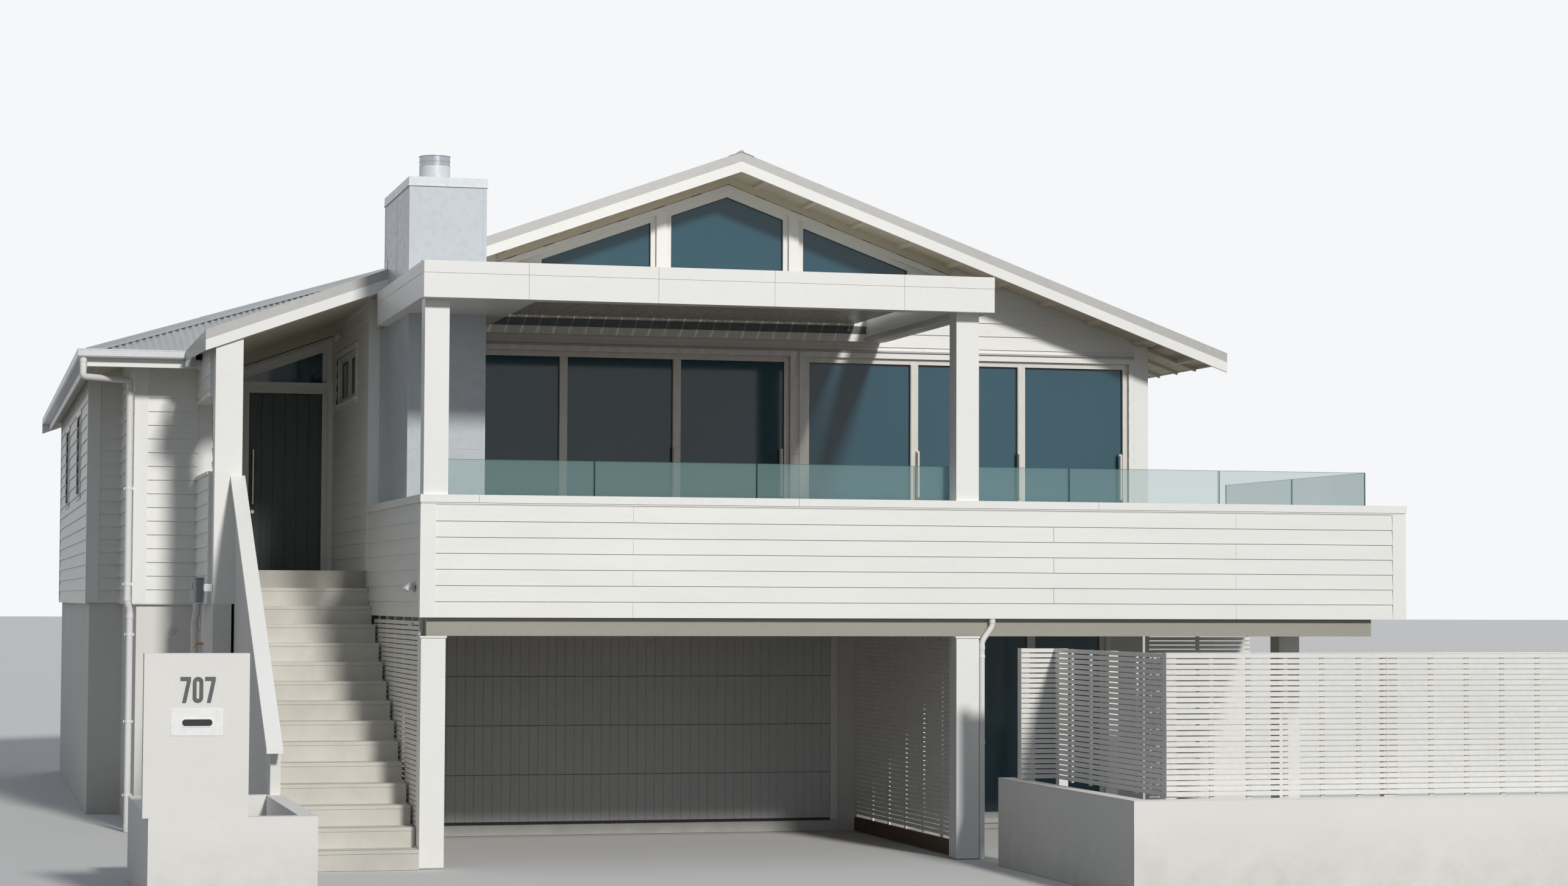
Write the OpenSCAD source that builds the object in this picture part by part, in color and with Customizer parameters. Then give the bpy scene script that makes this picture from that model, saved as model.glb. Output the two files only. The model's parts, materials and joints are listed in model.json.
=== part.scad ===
// Two-storey beach house with a carport, a stair, a balcony and a gabled roof.
// The origin is at the foot of the front left balcony post, on its axis.
// X runs to the right, Y into the house and Z up.

/* [Levels] */
// Height of the upper floor above the ground
floor_z = 2850; // [2500:10:3200]
// Height at which the weatherboards start
skirt_z = 2490; // [2400:10:2490]
// Height of the garage floor above the ground
slab_h = 120; // [60:10:200]
// Height of the top of the ridge
ridge_z = 7390; // [7200:10:7900]

/* [Plan] */
// Width of a square balcony post
post_w = 235; // [200:5:260]
// Distance between the two front posts
post_gap = 5328; // [5200:10:5500]
// Depth of the balcony, from the post axis to the front wall
balcony_d = 3880; // [3800:10:4200]
// Length of the balcony parapet
balcony_l = 10166; // [10000:10:10600]
// Distance from the post axis to the right wall
house_right = 8775; // [8600:10:8900]
// Distance from the post axis to the rear wall
house_back = 17880; // [17000:50:19000]
// Distance from the post axis to the entry wall
entry_y = 7222; // [7000:10:7400]
// Distance from the post axis to the front of the left wing
wing_front = 5272; // [5200:10:5400]
// Width of the front of the left wing
wing_w = 670; // [600:10:720]
// Distance from the post axis to the wider part of the left wing
setback_y = 8265; // [8000:10:8500]
// Extra width of the rear part of the left wing
setback_w = 382; // [300:10:400]
// Width of the porch, between its two side walls
porch_w = 1564; // [1540:4:1600]
// Distance from the post axis to the porch column
porch_front = 3283; // [3250:1:3320]

/* [Walls] */
// Thickness of the framed and boarded walls
wall_t = 150; // [120:10:180]
// Thickness of the plastered lower walls
block_t = 190; // [160:10:220]
// Distance of the lower walls behind the boards
block_in = 30; // [20:5:50]

/* [Roof] */
// Slope of the roof in degrees
pitch = 20; // [18:0.5:20]
// Distance from the post axis to the ridge
ridge_x = 3832; // [3750:2:3900]
// Thickness of the roof, measured upright
roof_t = 120; // [90:5:140]
// Reach of the roof past the gable walls
gable_out = 597; // [560:1:650]
// Reach of the roof past the wing and the left wall
eave_out = 660; // [600:10:700]
// Reach of the roof past the right wall
right_out = 740; // [600:10:800]
// Distance of the gable's left eave beyond the porch side wall
left_out = 1795; // [1780:1:1800]
// Thickness of a barge board
barge_t = 36; // [25:1:45]
// Upright height of a barge board
barge_h = 112; // [90:1:130]
// Upright height of the barge flashing above its board
flash_h = 105; // [80:1:120]
// Upright distance from the roof's top down to the barge board
barge_drop = 60; // [40:1:80]
// Depth of the roof outriggers and eave rafters
rafter_h = 120; // [90:5:140]
// Width of the roof outriggers and eave rafters
rafter_w = 45; // [35:1:60]
// Spacing of the roof outriggers and eave rafters
rafter_pitch = 560; // [450:10:650]
// Width of a gutter
gutter_w = 120; // [100:5:130]
// Height of a gutter
gutter_h = 85; // [70:5:95]
// Thickness of the gutter metal
gutter_t = 6; // [4:1:8]
// Diameter of a downpipe
pipe_d = 72; // [60:2:90]
// Depth of the roof edge below the roof's top at a gutter
gutter_drop = 20; // [10:2:30]
// Gap between the end of the front gutter and the gable's left edge
gutter_stop = 110; // [80:5:140]
// Drop from the gable's left edge down to the main roof's edge
eave_drop = 130; // [100:5:160]
// Width of the flashing's lap onto the roof
flash_lap = 120; // [90:5:150]

/* [Balcony] */
// Height of the underside of the parapet
parapet_z = 2375; // [2340:5:2400]
// Height of the top of the parapet
parapet_top = 3541; // [3450:1:3700]
// Height of the parapet's cap
cap_h = 94; // [70:1:110]
// Overhang of the parapet's cap
cap_out = 8; // [4:1:12]
// Distance of the pergola's posts behind the face of the parapet
perg_in = 12; // [6:1:20]
// Thickness of the left side of the parapet
side_t = 95; // [90:1:98]
// Height of the top of the glass screen
glass_top = 3895; // [3750:5:4000]
// Thickness of the toughened glass
glass_t = 12; // [8:1:15]
// Gap between the parapet and the glass screen
glass_gap = 50; // [40:2:80]
// Number of panes in the front glass screen
pane_n = 6; // [5:1:8]
// Thickness of the balcony deck
deck_t = 40; // [25:1:45]
// Step from the upper floor down to the deck
deck_step = 20; // [10:5:30]
// Depth of the balcony joists
joist_h = 250; // [200:10:280]
// Width of the balcony joists
joist_w = 45; // [35:1:60]
// Number of balcony joists
joist_n = 21; // [17:1:24]
// Height of the balcony beams
beam_h = 175; // [140:5:190]
// Width of the balcony beams
beam_w = 120; // [100:5:150]
// Distance from the post axis to the third post, sideways
post3_x = 9589; // [9400:5:9650]
// Distance from the front post axis to the third post
post3_y = 1850; // [1600:10:2200]

/* [Pergola] */
// Height of the underside of the pergola
pergola_z = 5428; // [5380:2:5440]
// Height of the pergola's edge boards
pergola_h = 348; // [320:2:356]
// Depth of the top flashing on the pergola's edge
pergola_cap = 110; // [90:2:130]
// Reach of the pergola past the right post's axis
pergola_out = 260; // [220:5:300]
// Reach of the pergola past the balcony's left side
edge_out = 10; // [5:1:15]
// Width of the pergola's boxed edge beams
pergola_beam = 220; // [180:5:250]
// Width of a louvre blade
blade_w = 190; // [180:2:196]
// Thickness of a louvre blade
blade_t = 16; // [10:1:22]
// Spacing of the louvre blades
blade_pitch = 176; // [170:2:190]
// Number of louvre blades
blade_n = 24; // [20:1:24]
// Height of the louvre blades' axes above the pergola's underside
louvre_up = 172; // [150:2:180]
// Thickness of the soffit in front of the fireplace
soffit_h = 60; // [40:5:80]
// Tilt of the louvre blades in degrees
blade_tilt = 22; // [20:1:30]

/* [Fireplace] */
// Left edge of the fireplace, from the post axis
fire_x = -17; // [-20:1:0]
// Width of the fireplace
fire_w = 786; // [700:2:800]
// Distance from the post axis to the front of the fireplace
fire_y = 1670; // [1600:5:1800]
// Depth of the chimney above the roof
fire_d = 1863; // [1800:1:1900]
// Height of the top of the chimney
chimney_z = 6818; // [6700:2:7000]
// Height of the chimney's cap
chimney_cap = 95; // [70:1:110]
// Diameter of the steel flue
flue_d = 330; // [280:5:380]
// Height of the steel flue
flue_h = 230; // [180:5:300]

/* [Doors and windows] */
// Width of a set of sliding doors
slider_w = 3840; // [3760:10:3860]
// Height of the sliding doors
slider_h = 2410; // [2300:10:2420]
// Width of the wall between the sets of sliding doors
slider_mid = 168; // [140:4:200]
// Width of the wall to the right of the sliding doors
slider_end = 215; // [190:5:240]
// Width of the frame of a door or window
frame_w = 60; // [45:1:70]
// Width of an upright of a sliding door
stile_w = 90; // [70:2:110]
// Depth of the frame of a door or window
frame_d = 90; // [70:2:110]
// Thickness of window glass
pane_t = 10; // [6:1:14]
// Upright distance from the roof's top to the heads of the side and rear windows
head_drop = 641; // [600:1:700]
// Width of a window on the right or at the rear
window_w = 1800; // [1500:50:2000]
// Height of a window on the right or at the rear
window_h = 1100; // [900:50:1400]
// Distance from the front wall to the first window on the right
window_y = 2520; // [2000:10:3000]
// Spacing of the windows on the right and on the left
window_step = 4000; // [3500:50:4200]
// Distance from the right wall to the first window at the rear
rear_in = 1375; // [1200:5:1500]
// Spacing of the windows at the rear
rear_step = 3500; // [3300:50:3600]
// Width of a window on the left
left_w = 1200; // [900:50:1500]
// Height of a window on the left
left_h = 1000; // [800:50:1200]
// Distance from the wing's step to the far side of the first window on the left
left_y = 3335; // [3000:5:3600]
// Distance from the roof's top to the heads of the windows on the left
left_drop = 420; // [380:5:500]
// Distance from the entry wall to the porch window
porch_win_in = 390; // [300:10:500]
// Width of the porch window
porch_win_w = 1850; // [1500:50:2000]
// Height of the porch window
porch_win_h = 540; // [450:10:600]
// Upright distance from the roof's top to the head of the porch window
porch_win_drop = 622; // [600:1:700]
// Distance from the right wall to the lower front door
low_in = 485; // [400:5:600]
// Width of the lower doors
low_w = 1770; // [1500:10:1900]
// Distance from the front wall to the first lower window on the right
low_y = 3120; // [2500:10:3500]
// Spacing of the lower windows on the right
low_step = 5600; // [5000:50:6000]
// Width of a lower window on the right
low_win_w = 1500; // [1200:50:1800]
// Height of a lower window on the right
low_win_h = 700; // [500:50:900]
// Height of the sill of the lower windows on the right
low_sill = 1300; // [1100:50:1500]
// Distance from the right wall to the lower rear door
low_rear_in = 2175; // [1800:5:2500]
// Upright distance from the roof's ridge down to the sill of the gable windows
sill_drop = 1190; // [1160:5:1230]
// Half the width of the middle gable window
gable_half = 640; // [600:5:680]
// Width of the wall between the gable windows
gable_mid = 230; // [200:5:260]
// Upright distance from the roof's top to the gable windows
gable_drop = 370; // [360:5:400]
// Height of the narrow ends of the gable's outer windows
rake_tip = 60; // [40:5:90]
// Upright distance from the gable's slope to the window above the entry
transom_drop = 461; // [450:1:480]
// Width of the frame between the entry door and the window above it
transom_rail = 58; // [50:1:70]
// Width of the frame of the window above the entry door
transom_frame = 45; // [35:1:50]
// Width of the entry door leaf
door_w = 838; // [760:2:900]
// Height of the entry door leaf
door_h = 2090; // [2000:5:2100]
// Thickness of the entry door leaf
door_t = 45; // [40:1:50]
// Gap around the entry door leaf
door_gap = 6; // [5:1:8]
// Distance from the entry door's frame to the porch side wall
door_side = 72; // [60:2:90]
// Number of hinges on the entry door
hinge_n = 3; // [2:1:4]
// Height of half a hinge
hinge_h = 50; // [35:1:60]
// Width of half a hinge
hinge_w = 36; // [25:1:45]
// Radius of a hinge's knuckle
hinge_r = 7; // [5:0.5:9]
// Distance of the outer hinges from the ends of the entry door
hinge_in = 180; // [120:5:250]
// Distance of the pull bar from the edge of the entry door
pull_in = 46; // [40:1:80]
// Distance of the pull bar in front of the entry door
pull_out = 60; // [50:1:70]
// Height of the lower end of the pull bar above the floor
pull_up = 796; // [700:4:900]
// Length of the entry door's pull bar
pull_l = 640; // [500:10:700]
// Diameter of the entry door's pull bar
pull_d = 32; // [25:1:38]
// Distance from the post axis to the garage door
garage_x = 53; // [40:1:80]
// Width of the garage door
garage_w = 4986; // [4900:2:5000]
// Height of the garage door
garage_h = 2130; // [2080:5:2150]
// Thickness of the garage door
garage_t = 45; // [35:1:60]
// Gap between the sections of the garage door
section_gap = 4; // [3:1:8]
// Number of sections in the garage door
section_n = 4; // [3:1:5]

/* [Stair] */
// Number of risers
riser_n = 15; // [14:1:17]
// Distance from the post axis to the top riser
stair_top = 4072; // [4050:2:4100]
// Depth of a tread
going = 305; // [290:1:305]
// Clear width of the stair
stair_w = 1360; // [1300:5:1365]
// Gap between the stair and the balcony's side
stair_gap = 10; // [5:1:20]
// Upright thickness of the stair slab under the steps
waist = 212; // [180:2:240]
// Thickness of the stair's side wall
rail_t = 95; // [85:1:100]
// Height of the side wall's cap above the stair's nosings
rail_h = 1470; // [1300:5:1500]
// Width of the side wall's cap
rail_cap_w = 150; // [130:2:150]
// Upright thickness of the side wall's cap
rail_cap_t = 42; // [30:1:60]
// Overhang of the cap past the end of the side wall
rail_over = 208; // [150:2:240]

/* [Porch] */
// Width of the porch column
column_w = 283; // [240:1:290]
// Height of the porch balustrade above the floor
porch_rail = 1000; // [900:10:1100]
// Height of the porch beam's underside above the floor
porch_beam = 1850; // [1800:10:1900]
// Upright distance from the roof's top to the porch ceiling
ceiling_drop = 315; // [300:5:330]
// Thickness of the porch ceiling
ceiling_t = 20; // [12:1:30]

/* [Screens and fence] */
// Spacing of the slats
slat_pitch = 48; // [46:1:56]
// Height of a slat
slat_h = 37; // [30:1:40]
// Thickness of a slat
slat_t = 18; // [14:1:24]
// Width of the uprights behind the slats
batten_w = 45; // [35:1:60]
// Thickness of the uprights behind the slats
batten_t = 20; // [15:1:30]
// Height of the lowest slat of the screens above the ground
screen_low = 188; // [160:2:220]
// Number of uprights behind a long screen
screen_n = 7; // [5:1:9]
// Number of slats in the garden fence
fence_slats = 26; // [22:1:28]
// Height of the fence's lowest edge above the ground
fence_z = 862; // [850:2:900]
// Length of a fence bay
fence_bay = 2094; // [1900:2:2200]
// Number of whole bays along the front of the fence
fence_bays = 3; // [2:1:4]
// Width of a fence post
fence_post = 90; // [70:5:100]
// Distance of the fence behind the front retaining wall
fence_step = 86; // [60:2:120]
// Distance of the fence inside the side retaining wall
fence_in = 235; // [200:5:260]
// Length of the side of the fence, front to back
fence_side = 2886; // [2700:2:3000]
// Length of the fence's short return
fence_return = 331; // [280:1:340]

/* [Garden walls] */
// Distance from the right post's axis to the retaining wall
garden_x = 68; // [60:2:100]
// Distance from the post axis to the front of the retaining wall
garden_y = 4489; // [4400:10:4600]
// Length of the retaining wall's side, front to back
garden_d = 3628; // [3500:10:3700]
// Thickness of the retaining wall
garden_t = 160; // [140:5:180]
// Height of the retaining wall
garden_h = 840; // [780:5:845]
// Distance from the post axis to the planter, sideways
planter_x = 1464; // [1440:4:1484]
// Distance from the post axis to the back of the planter
planter_y = 607; // [560:1:650]
// Width of the planter
planter_w = 1382; // [1300:2:1400]
// Length of the planter
planter_l = 3030; // [2900:10:3100]
// Height of the planter
planter_h = 753; // [700:1:800]
// Thickness of the planter's walls
planter_t = 150; // [130:5:170]
// Reach of the letterbox wall past the planter
letter_out = 48; // [20:2:80]
// Width of the letterbox wall
letter_w = 856; // [800:2:900]
// Height of the letterbox wall
letter_h = 2097; // [2000:1:2150]

/* [Hidden] */

half = post_w/2;
deck_left = -half;
deck_right = balcony_l - half;
deck_in = deck_right - post_w;
deck_z = floor_z - deck_step;
joist_z = deck_z - deck_t - joist_h;
beam_z = parapet_z - beam_h;
rail_z = parapet_top - cap_h;
wall_left = -half;
porch_left = wall_left - porch_w;
wing_right = porch_left - wall_t;
wing_left = wing_right - wing_w;
rear_left = wing_left - setback_w;
in = block_in + block_t;
frame_in = (wall_t - frame_d)/4;
tp = tan(pitch);
eave_x = wing_left - eave_out;
eave_y = wing_front - eave_out;
main_eave = eave_x + gutter_w;
front_eave = eave_y + gutter_w;
gable_left = wall_left - left_out;
eave_z = ridge_z - tp*(ridge_x - gable_left) - eave_drop;
gable_right = house_right + right_out;
gable_front = balcony_d - gable_out;
gable_back = house_back + gable_out;
right_eave = gable_right - gutter_w;
gutter_end = gable_left - gutter_stop;
ridge2_x = (ridge_z - eave_z + tp*(ridge_x + eave_x))/(2*tp);
ridge2_z = eave_z + tp*(ridge2_x - eave_x);
flash_z = flash_h - barge_drop;
pergola_left = deck_left - edge_out;
pergola_right = post_gap + pergola_out;
pergola_front = -half;
pergola_in = pergola_front + pergola_beam;
pergola_back = balcony_d - pergola_beam;
pergola_top = pergola_z + pergola_h;
louvre_x0 = fire_x + fire_w + pergola_beam;
louvre_x1 = pergola_right - pergola_beam;
fire_x1 = fire_x + fire_w;
fire_back = fire_y + fire_d;
entry_w = door_w + 2*door_gap + 2*frame_w;
entry_x = wall_left - door_side - entry_w;
entry_top = floor_z + 2*door_gap + door_h + frame_w;
door_x = entry_x + frame_w + door_gap;
door_y = entry_y + frame_in + frame_d - door_t;
hinge_x = door_x + door_w + door_gap/2;
hinge_y = door_y + door_t + hinge_r + 1;
riser_h = floor_z/riser_n;
stair_y = stair_top - (riser_n - 1)*going;
stair_right = deck_left - stair_gap;
stair_left = stair_right - stair_w;
column_x = wing_right + block_in;
gable_sill = ridge_z - sill_drop;
planter_right = -planter_x;
planter_left = planter_right - planter_w;
planter_back = -planter_y;
planter_front = planter_back - planter_l;
letter_x = planter_left - letter_out;
garden_left = post_gap + garden_x;
fence_left = garden_left + garden_t + fence_in;
fence_front_y = fence_step + garden_t - garden_y;
fence_rear_y = fence_front_y + fence_side;
fence_top = fence_z + (fence_slats - 1)*slat_pitch + slat_h;
nib = 2;
fit = 0.3;
roof_low = roof_t + fit;

function z_gable(x) = ridge_z - tp*abs(x - ridge_x);
function z_left(x) = eave_z + tp*(x - eave_x);
function z_hip(y) = eave_z + tp*(y - eave_y);
function y_hip(x) = x - eave_x + eave_y;
function y_valley(x) = eave_y + (z_gable(x) - eave_z)/tp;

// The edges of the gables, in two halves that don't touch at the ridge
front_lines = [[[gable_left, z_gable(gable_left)], [ridge_x - fit, z_gable(ridge_x - fit)]],
    [[ridge_x + fit, z_gable(ridge_x + fit)], [gable_right, z_gable(gable_right)]]];
back_lines = [[[eave_x, eave_z], [ridge2_x - fit, z_left(ridge2_x - fit)]],
    [[ridge2_x + fit, ridge2_z - tp*fit], [gable_right, z_gable(gable_right)]]];

// Openings as [corner, turn, width, height, panes], the corner being the lower
// left one as seen from outside, on the outer face of the wall
sliders = [for (i = [1, 2])
    [[house_right - slider_end - i*slider_w - (i - 1)*slider_mid, balcony_d, floor_z],
        0, slider_w, slider_h, 3]];
porch_windows = [[[wall_left, entry_y - porch_win_in,
    z_gable(wall_left) - porch_win_drop - porch_win_h], -90, porch_win_w, porch_win_h, 2]];
head_z = z_gable(house_right) - head_drop;
right_windows = [for (i = [0 : 2])
    [[house_right, balcony_d + window_y + i*window_step, head_z - window_h], 90, window_w, window_h, 2]];
rear_windows = [for (i = [0 : 2])
    [[house_right - rear_in - i*rear_step, house_back, head_z - window_h], 180, window_w, window_h, 2]];
left_windows = [for (i = [0, 1]) [[rear_left, setback_y + left_y + i*window_step,
    z_left(rear_left) - left_drop - left_h], -90, left_w, left_h, 2]];
lower_front = [[[house_right - low_in - low_w, balcony_d + block_in, slab_h], 0, low_w, garage_h, 2]];
lower_right = [for (i = [0, 1]) [[house_right - block_in, balcony_d + low_y + i*low_step, low_sill],
    90, low_win_w, low_win_h, 2]];
lower_rear = [[[house_right - low_rear_in, house_back - block_in, slab_h], 180, low_w, garage_h, 2]];
other_windows = concat(porch_windows, right_windows, rear_windows, left_windows, lower_front,
    lower_right, lower_rear);

module block(p, q) translate(p) cube(q - p);

// A profile of X and Z points, run from y0 to y1
module run_y(y0, y1, points)
    translate([0, y1, 0]) rotate([90, 0, 0]) linear_extrude(y1 - y0) polygon(points);

// A profile of Y and Z points, run from x0 to x1
module run_x(x0, x1, points)
    translate([x0, 0, 0]) rotate([90, 0, 90]) linear_extrude(x1 - x0) polygon(points);

function shift(line, dz) = [for (p = line) p + [0, dz]];
function flip(line) = [for (i = [len(line) - 1 : -1 : 0]) line[i]];
function band(line, low, high) = concat(shift(line, high), flip(shift(line, low)));

// The room that the fireplace takes up in the roof's edge
module fireplace_room() block([fire_x, fire_y, deck_z], [fire_x1, fire_back, chimney_z]);

// An opening is [corner, turn, width, height, panes], its corner being the
// lower left one as seen from outside, on the wall's outer face
module place(opening) translate(opening[0]) rotate([0, 0, opening[1]]) children();

module cut(openings, depth) for (o = openings)
    place(o) translate([0, -nib, 0]) cube([o[2], depth + 2*nib, o[3]]);

function clear_w(o) = (o[2] - 2*frame_w - (o[4] - 1)*stile_w)/o[4];

module frames(openings) for (o = openings) place(o) difference() {
    translate([0, frame_in, 0]) cube([o[2], frame_d, o[3]]);
    for (i = [0 : o[4] - 1])
        translate([frame_w + i*(clear_w(o) + stile_w), 0, frame_w])
            cube([clear_w(o), wall_t + block_t, o[3] - 2*frame_w]);
}

module panes(openings) for (o = openings) place(o)
    for (i = [0 : o[4] - 1])
        translate([frame_w + i*(clear_w(o) + stile_w), frame_in + frame_d/2 - pane_t/2, frame_w])
            cube([clear_w(o), pane_t, o[3] - 2*frame_w]);

// A window under the roof's slope, with a margin m all round
function rake_z(x, drop, m) = z_gable(x) - drop + m/cos(pitch);
function rake_right(x, sill, drop, m) = let (
    end = ridge_x + (ridge_z - drop + m/cos(pitch) - sill + m - rake_tip)/tp)
    [[x - m, sill - m], [end, sill - m], [end, rake_z(end, drop, m)],
        [x - m, rake_z(x - m, drop, m)]];
function rake_left(x, sill, drop, m) = let (
    end = ridge_x - (ridge_z - drop + m/cos(pitch) - sill + m - rake_tip)/tp)
    [[x + m, sill - m], [x + m, rake_z(x + m, drop, m)], [end, rake_z(end, drop, m)],
        [end, sill - m]];
function rake_middle(m) = let (w = gable_half + m)
    [[ridge_x - w, gable_sill - m], [ridge_x + w, gable_sill - m],
        [ridge_x + w, rake_z(ridge_x + w, gable_drop, m)],
        [ridge_x, rake_z(ridge_x, gable_drop, m)],
        [ridge_x - w, rake_z(ridge_x - w, gable_drop, m)]];
function gable_windows(m) = [rake_middle(m),
    rake_right(ridge_x + gable_half + gable_mid, gable_sill, gable_drop, m),
    rake_left(ridge_x - gable_half - gable_mid, gable_sill, gable_drop, m)];

// The plan inside outer walls of thickness t, in parts, the wing's being w wide
module inside(t, w) {
    translate([wall_left + t, balcony_d + t])
        square([house_right - wall_left - 2*t, house_back - balcony_d - 2*t]);
    translate([rear_left + t, setback_y + t])
        square([wall_left - rear_left - fit, house_back - setback_y - 2*t]);
    translate([wing_left + t, entry_y + t])
        square([wall_left - wing_left - fit, setback_y - entry_y - fit]);
    translate([wing_left + t, wing_front + t]) square([w, entry_y - wing_front - fit]);
}

module garage_floor() color("silver") linear_extrude(slab_h) inside(in, wing_w + block_in - in);

module upper_floor() color("tan") translate([0, 0, skirt_z]) linear_extrude(floor_z - skirt_z) {
    inside(wall_t, wing_w - wall_t);
    translate([porch_left, entry_y]) square([porch_w, wall_t - fit]);
}

// A lower wall that runs front to back, its outer face towards side
module lower_run(x, y0, y1, side)
    block([side < 0 ? x + block_in : x - block_in - block_t, y0, 0],
        [side < 0 ? x + block_in + block_t : x - block_in, y1, skirt_z]);

// A lower wall that runs from side to side
module lower_cross(y, x0, x1)
    block([x0, y + block_in, 0], [x1, y + block_in + block_t, skirt_z]);

module lower_side_walls() color("gainsboro") {
    lower_run(rear_left, setback_y + in, house_back - in, -1);
    lower_run(wing_left, wing_front + in, setback_y + block_in, -1);
    lower_run(wing_right, porch_front, entry_y + block_in, -1);
    lower_run(wall_left, balcony_d + in, entry_y + block_in, -1);
    difference() {
        lower_run(house_right, balcony_d + in, house_back - in, 1);
        cut(lower_right, block_t);
    }
}

module lower_end_walls() color("gainsboro") {
    difference() {
        lower_cross(balcony_d, wall_left + block_in, house_right - block_in);
        block([garage_x, balcony_d, slab_h],
            [garage_x + garage_w, balcony_d + in + nib, slab_h + garage_h]);
        cut(lower_front, block_t);
    }
    lower_cross(wing_front, wing_left + block_in, wing_right + block_in);
    lower_cross(setback_y, rear_left + block_in, wing_left + in);
    lower_cross(entry_y, wing_right + block_in, wall_left + in);
    difference() {
        lower_cross(house_back - in - block_in, rear_left + block_in, house_right - block_in);
        cut(lower_rear, block_t);
    }
}

module front_wall() color("whitesmoke") difference() {
    run_y(balcony_d, balcony_d + wall_t, [[wall_left, skirt_z], [house_right, skirt_z],
        [house_right, z_gable(house_right) - roof_low], [ridge_x, ridge_z - roof_low],
        [wall_left, z_gable(wall_left) - roof_low]]);
    cut(sliders, wall_t);
    for (w = gable_windows(frame_w)) run_y(balcony_d - nib, balcony_d + wall_t + nib, w);
}

module right_wall() color("whitesmoke") difference() {
    run_y(balcony_d + wall_t, house_back - wall_t, [[house_right - wall_t, skirt_z],
        [house_right, skirt_z], [house_right, z_gable(house_right) - roof_low],
        [house_right - wall_t, z_gable(house_right - wall_t) - roof_low]]);
    cut(right_windows, wall_t);
}

module rear_wall() color("whitesmoke") difference() {
    run_y(house_back - wall_t, house_back, [[rear_left, skirt_z], [house_right, skirt_z],
        [house_right, z_gable(house_right) - roof_low], [ridge2_x, ridge2_z - roof_low],
        [rear_left, z_left(rear_left) - roof_low]]);
    cut(rear_windows, wall_t);
}

// A profile under the left slope, from x0 to x1
function under_left(x0, x1) = [[x0, skirt_z], [x1, skirt_z], [x1, z_left(x1) - roof_low],
    [x0, z_left(x0) - roof_low]];

module left_walls() color("whitesmoke") {
    difference() {
        run_y(setback_y + wall_t + fit, house_back - wall_t,
            under_left(rear_left, rear_left + wall_t));
        cut(left_windows, wall_t);
    }
    run_y(setback_y, setback_y + wall_t, under_left(rear_left, wing_left + wall_t));
    run_y(wing_front + wall_t + fit, setback_y - fit, under_left(wing_left, wing_left + wall_t));
    intersection() {
        run_y(wing_front, wing_front + wall_t, under_left(wing_left, wing_right));
        run_x(wing_left, wing_right, [[wing_front, skirt_z], [wing_front + wall_t, skirt_z],
            [wing_front + wall_t, z_hip(wing_front + wall_t) - roof_low],
            [wing_front, z_hip(wing_front) - roof_low]]);
    }
}

module porch_walls() color("whitesmoke") {
    difference() {
        run_y(balcony_d + wall_t, entry_y + wall_t, [[wall_left, skirt_z],
            [wall_left + wall_t, skirt_z], [wall_left + wall_t, z_gable(wall_left + wall_t) - roof_low],
            [wall_left, z_gable(wall_left) - roof_low]]);
        cut(porch_windows, wall_t);
    }
    run_x(wing_right, porch_left, [[wing_front, skirt_z], [entry_y + wall_t, skirt_z],
        [entry_y + wall_t, z_left(wing_right) - roof_low],
        [y_hip(wing_right), z_left(wing_right) - roof_low],
        [wing_front, z_hip(wing_front) - roof_low]]);
}

// The outline of the window above the entry, with a margin m all round
function z_transom(x, m) = z_gable(x) - transom_drop + m/cos(pitch);
function transom(m) = let (x0 = entry_x + frame_w/2 - m, x1 = entry_x + entry_w - frame_w + m,
    z0 = entry_top + transom_rail - m)
    [[x0, z0], [x1, z0], [x1, z_transom(x1, m)], [x0, z_transom(x0, m)]];

module entry_wall() color("whitesmoke") {
    block([porch_left, entry_y, floor_z], [entry_x, entry_y + wall_t, entry_top - fit]);
    block([entry_x + entry_w, entry_y, floor_z], [wall_left, entry_y + wall_t, entry_top - fit]);
    difference() {
        run_y(entry_y, entry_y + wall_t, [[porch_left, entry_top], [wall_left, entry_top],
            [wall_left, z_hip(entry_y) - roof_low],
            [eave_x + entry_y - eave_y, z_hip(entry_y) - roof_low],
            [porch_left, z_left(porch_left) - roof_low]]);
        run_y(entry_y - nib, entry_y + wall_t + nib, transom(transom_frame));
    }
}

// A flat part of the roof over a plan, cut from a sloping layer
module roof_slab(plan) color("lightgray") intersection() {
    linear_extrude(ridge2_z + roof_t) polygon(plan);
    children();
}

module roof_right() roof_slab([[ridge_x, gable_front], [right_eave, gable_front],
        [right_eave, gable_back], [ridge2_x, gable_back], [ridge2_x, y_hip(ridge2_x)],
        [ridge_x, y_valley(ridge_x)]])
    run_y(gable_front, gable_back,
        band([[ridge2_x, ridge2_z], [right_eave, z_gable(right_eave)]], -roof_t, 0));

module roof_gable_left() difference() {
    roof_slab([[gable_left, gable_front], [ridge_x, gable_front],
            [ridge_x, y_valley(ridge_x)], [gable_left, y_valley(gable_left)]])
        run_y(gable_front, gable_back,
            band([[gable_left, z_gable(gable_left)], [ridge_x, ridge_z]], -roof_t, 0));
    fireplace_room();
}

module roof_rear_left() roof_slab([[main_eave, front_eave], [ridge2_x, y_hip(ridge2_x)],
        [ridge2_x, gable_back], [main_eave, gable_back]])
    run_y(eave_y, gable_back,
        band([[main_eave, z_left(main_eave)], [ridge2_x, ridge2_z]], -roof_t, 0));

module roof_hip() roof_slab([[main_eave, front_eave], [gutter_end, front_eave],
        [gutter_end, eave_y], [gable_left, eave_y], [gable_left, y_valley(gable_left)],
        [ridge_x, y_valley(ridge_x)], [ridge2_x, y_hip(ridge2_x)]])
    run_x(main_eave, ridge_x, band([[eave_y, eave_z], [y_hip(ridge2_x), ridge2_z]], -roof_t, 0));

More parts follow.
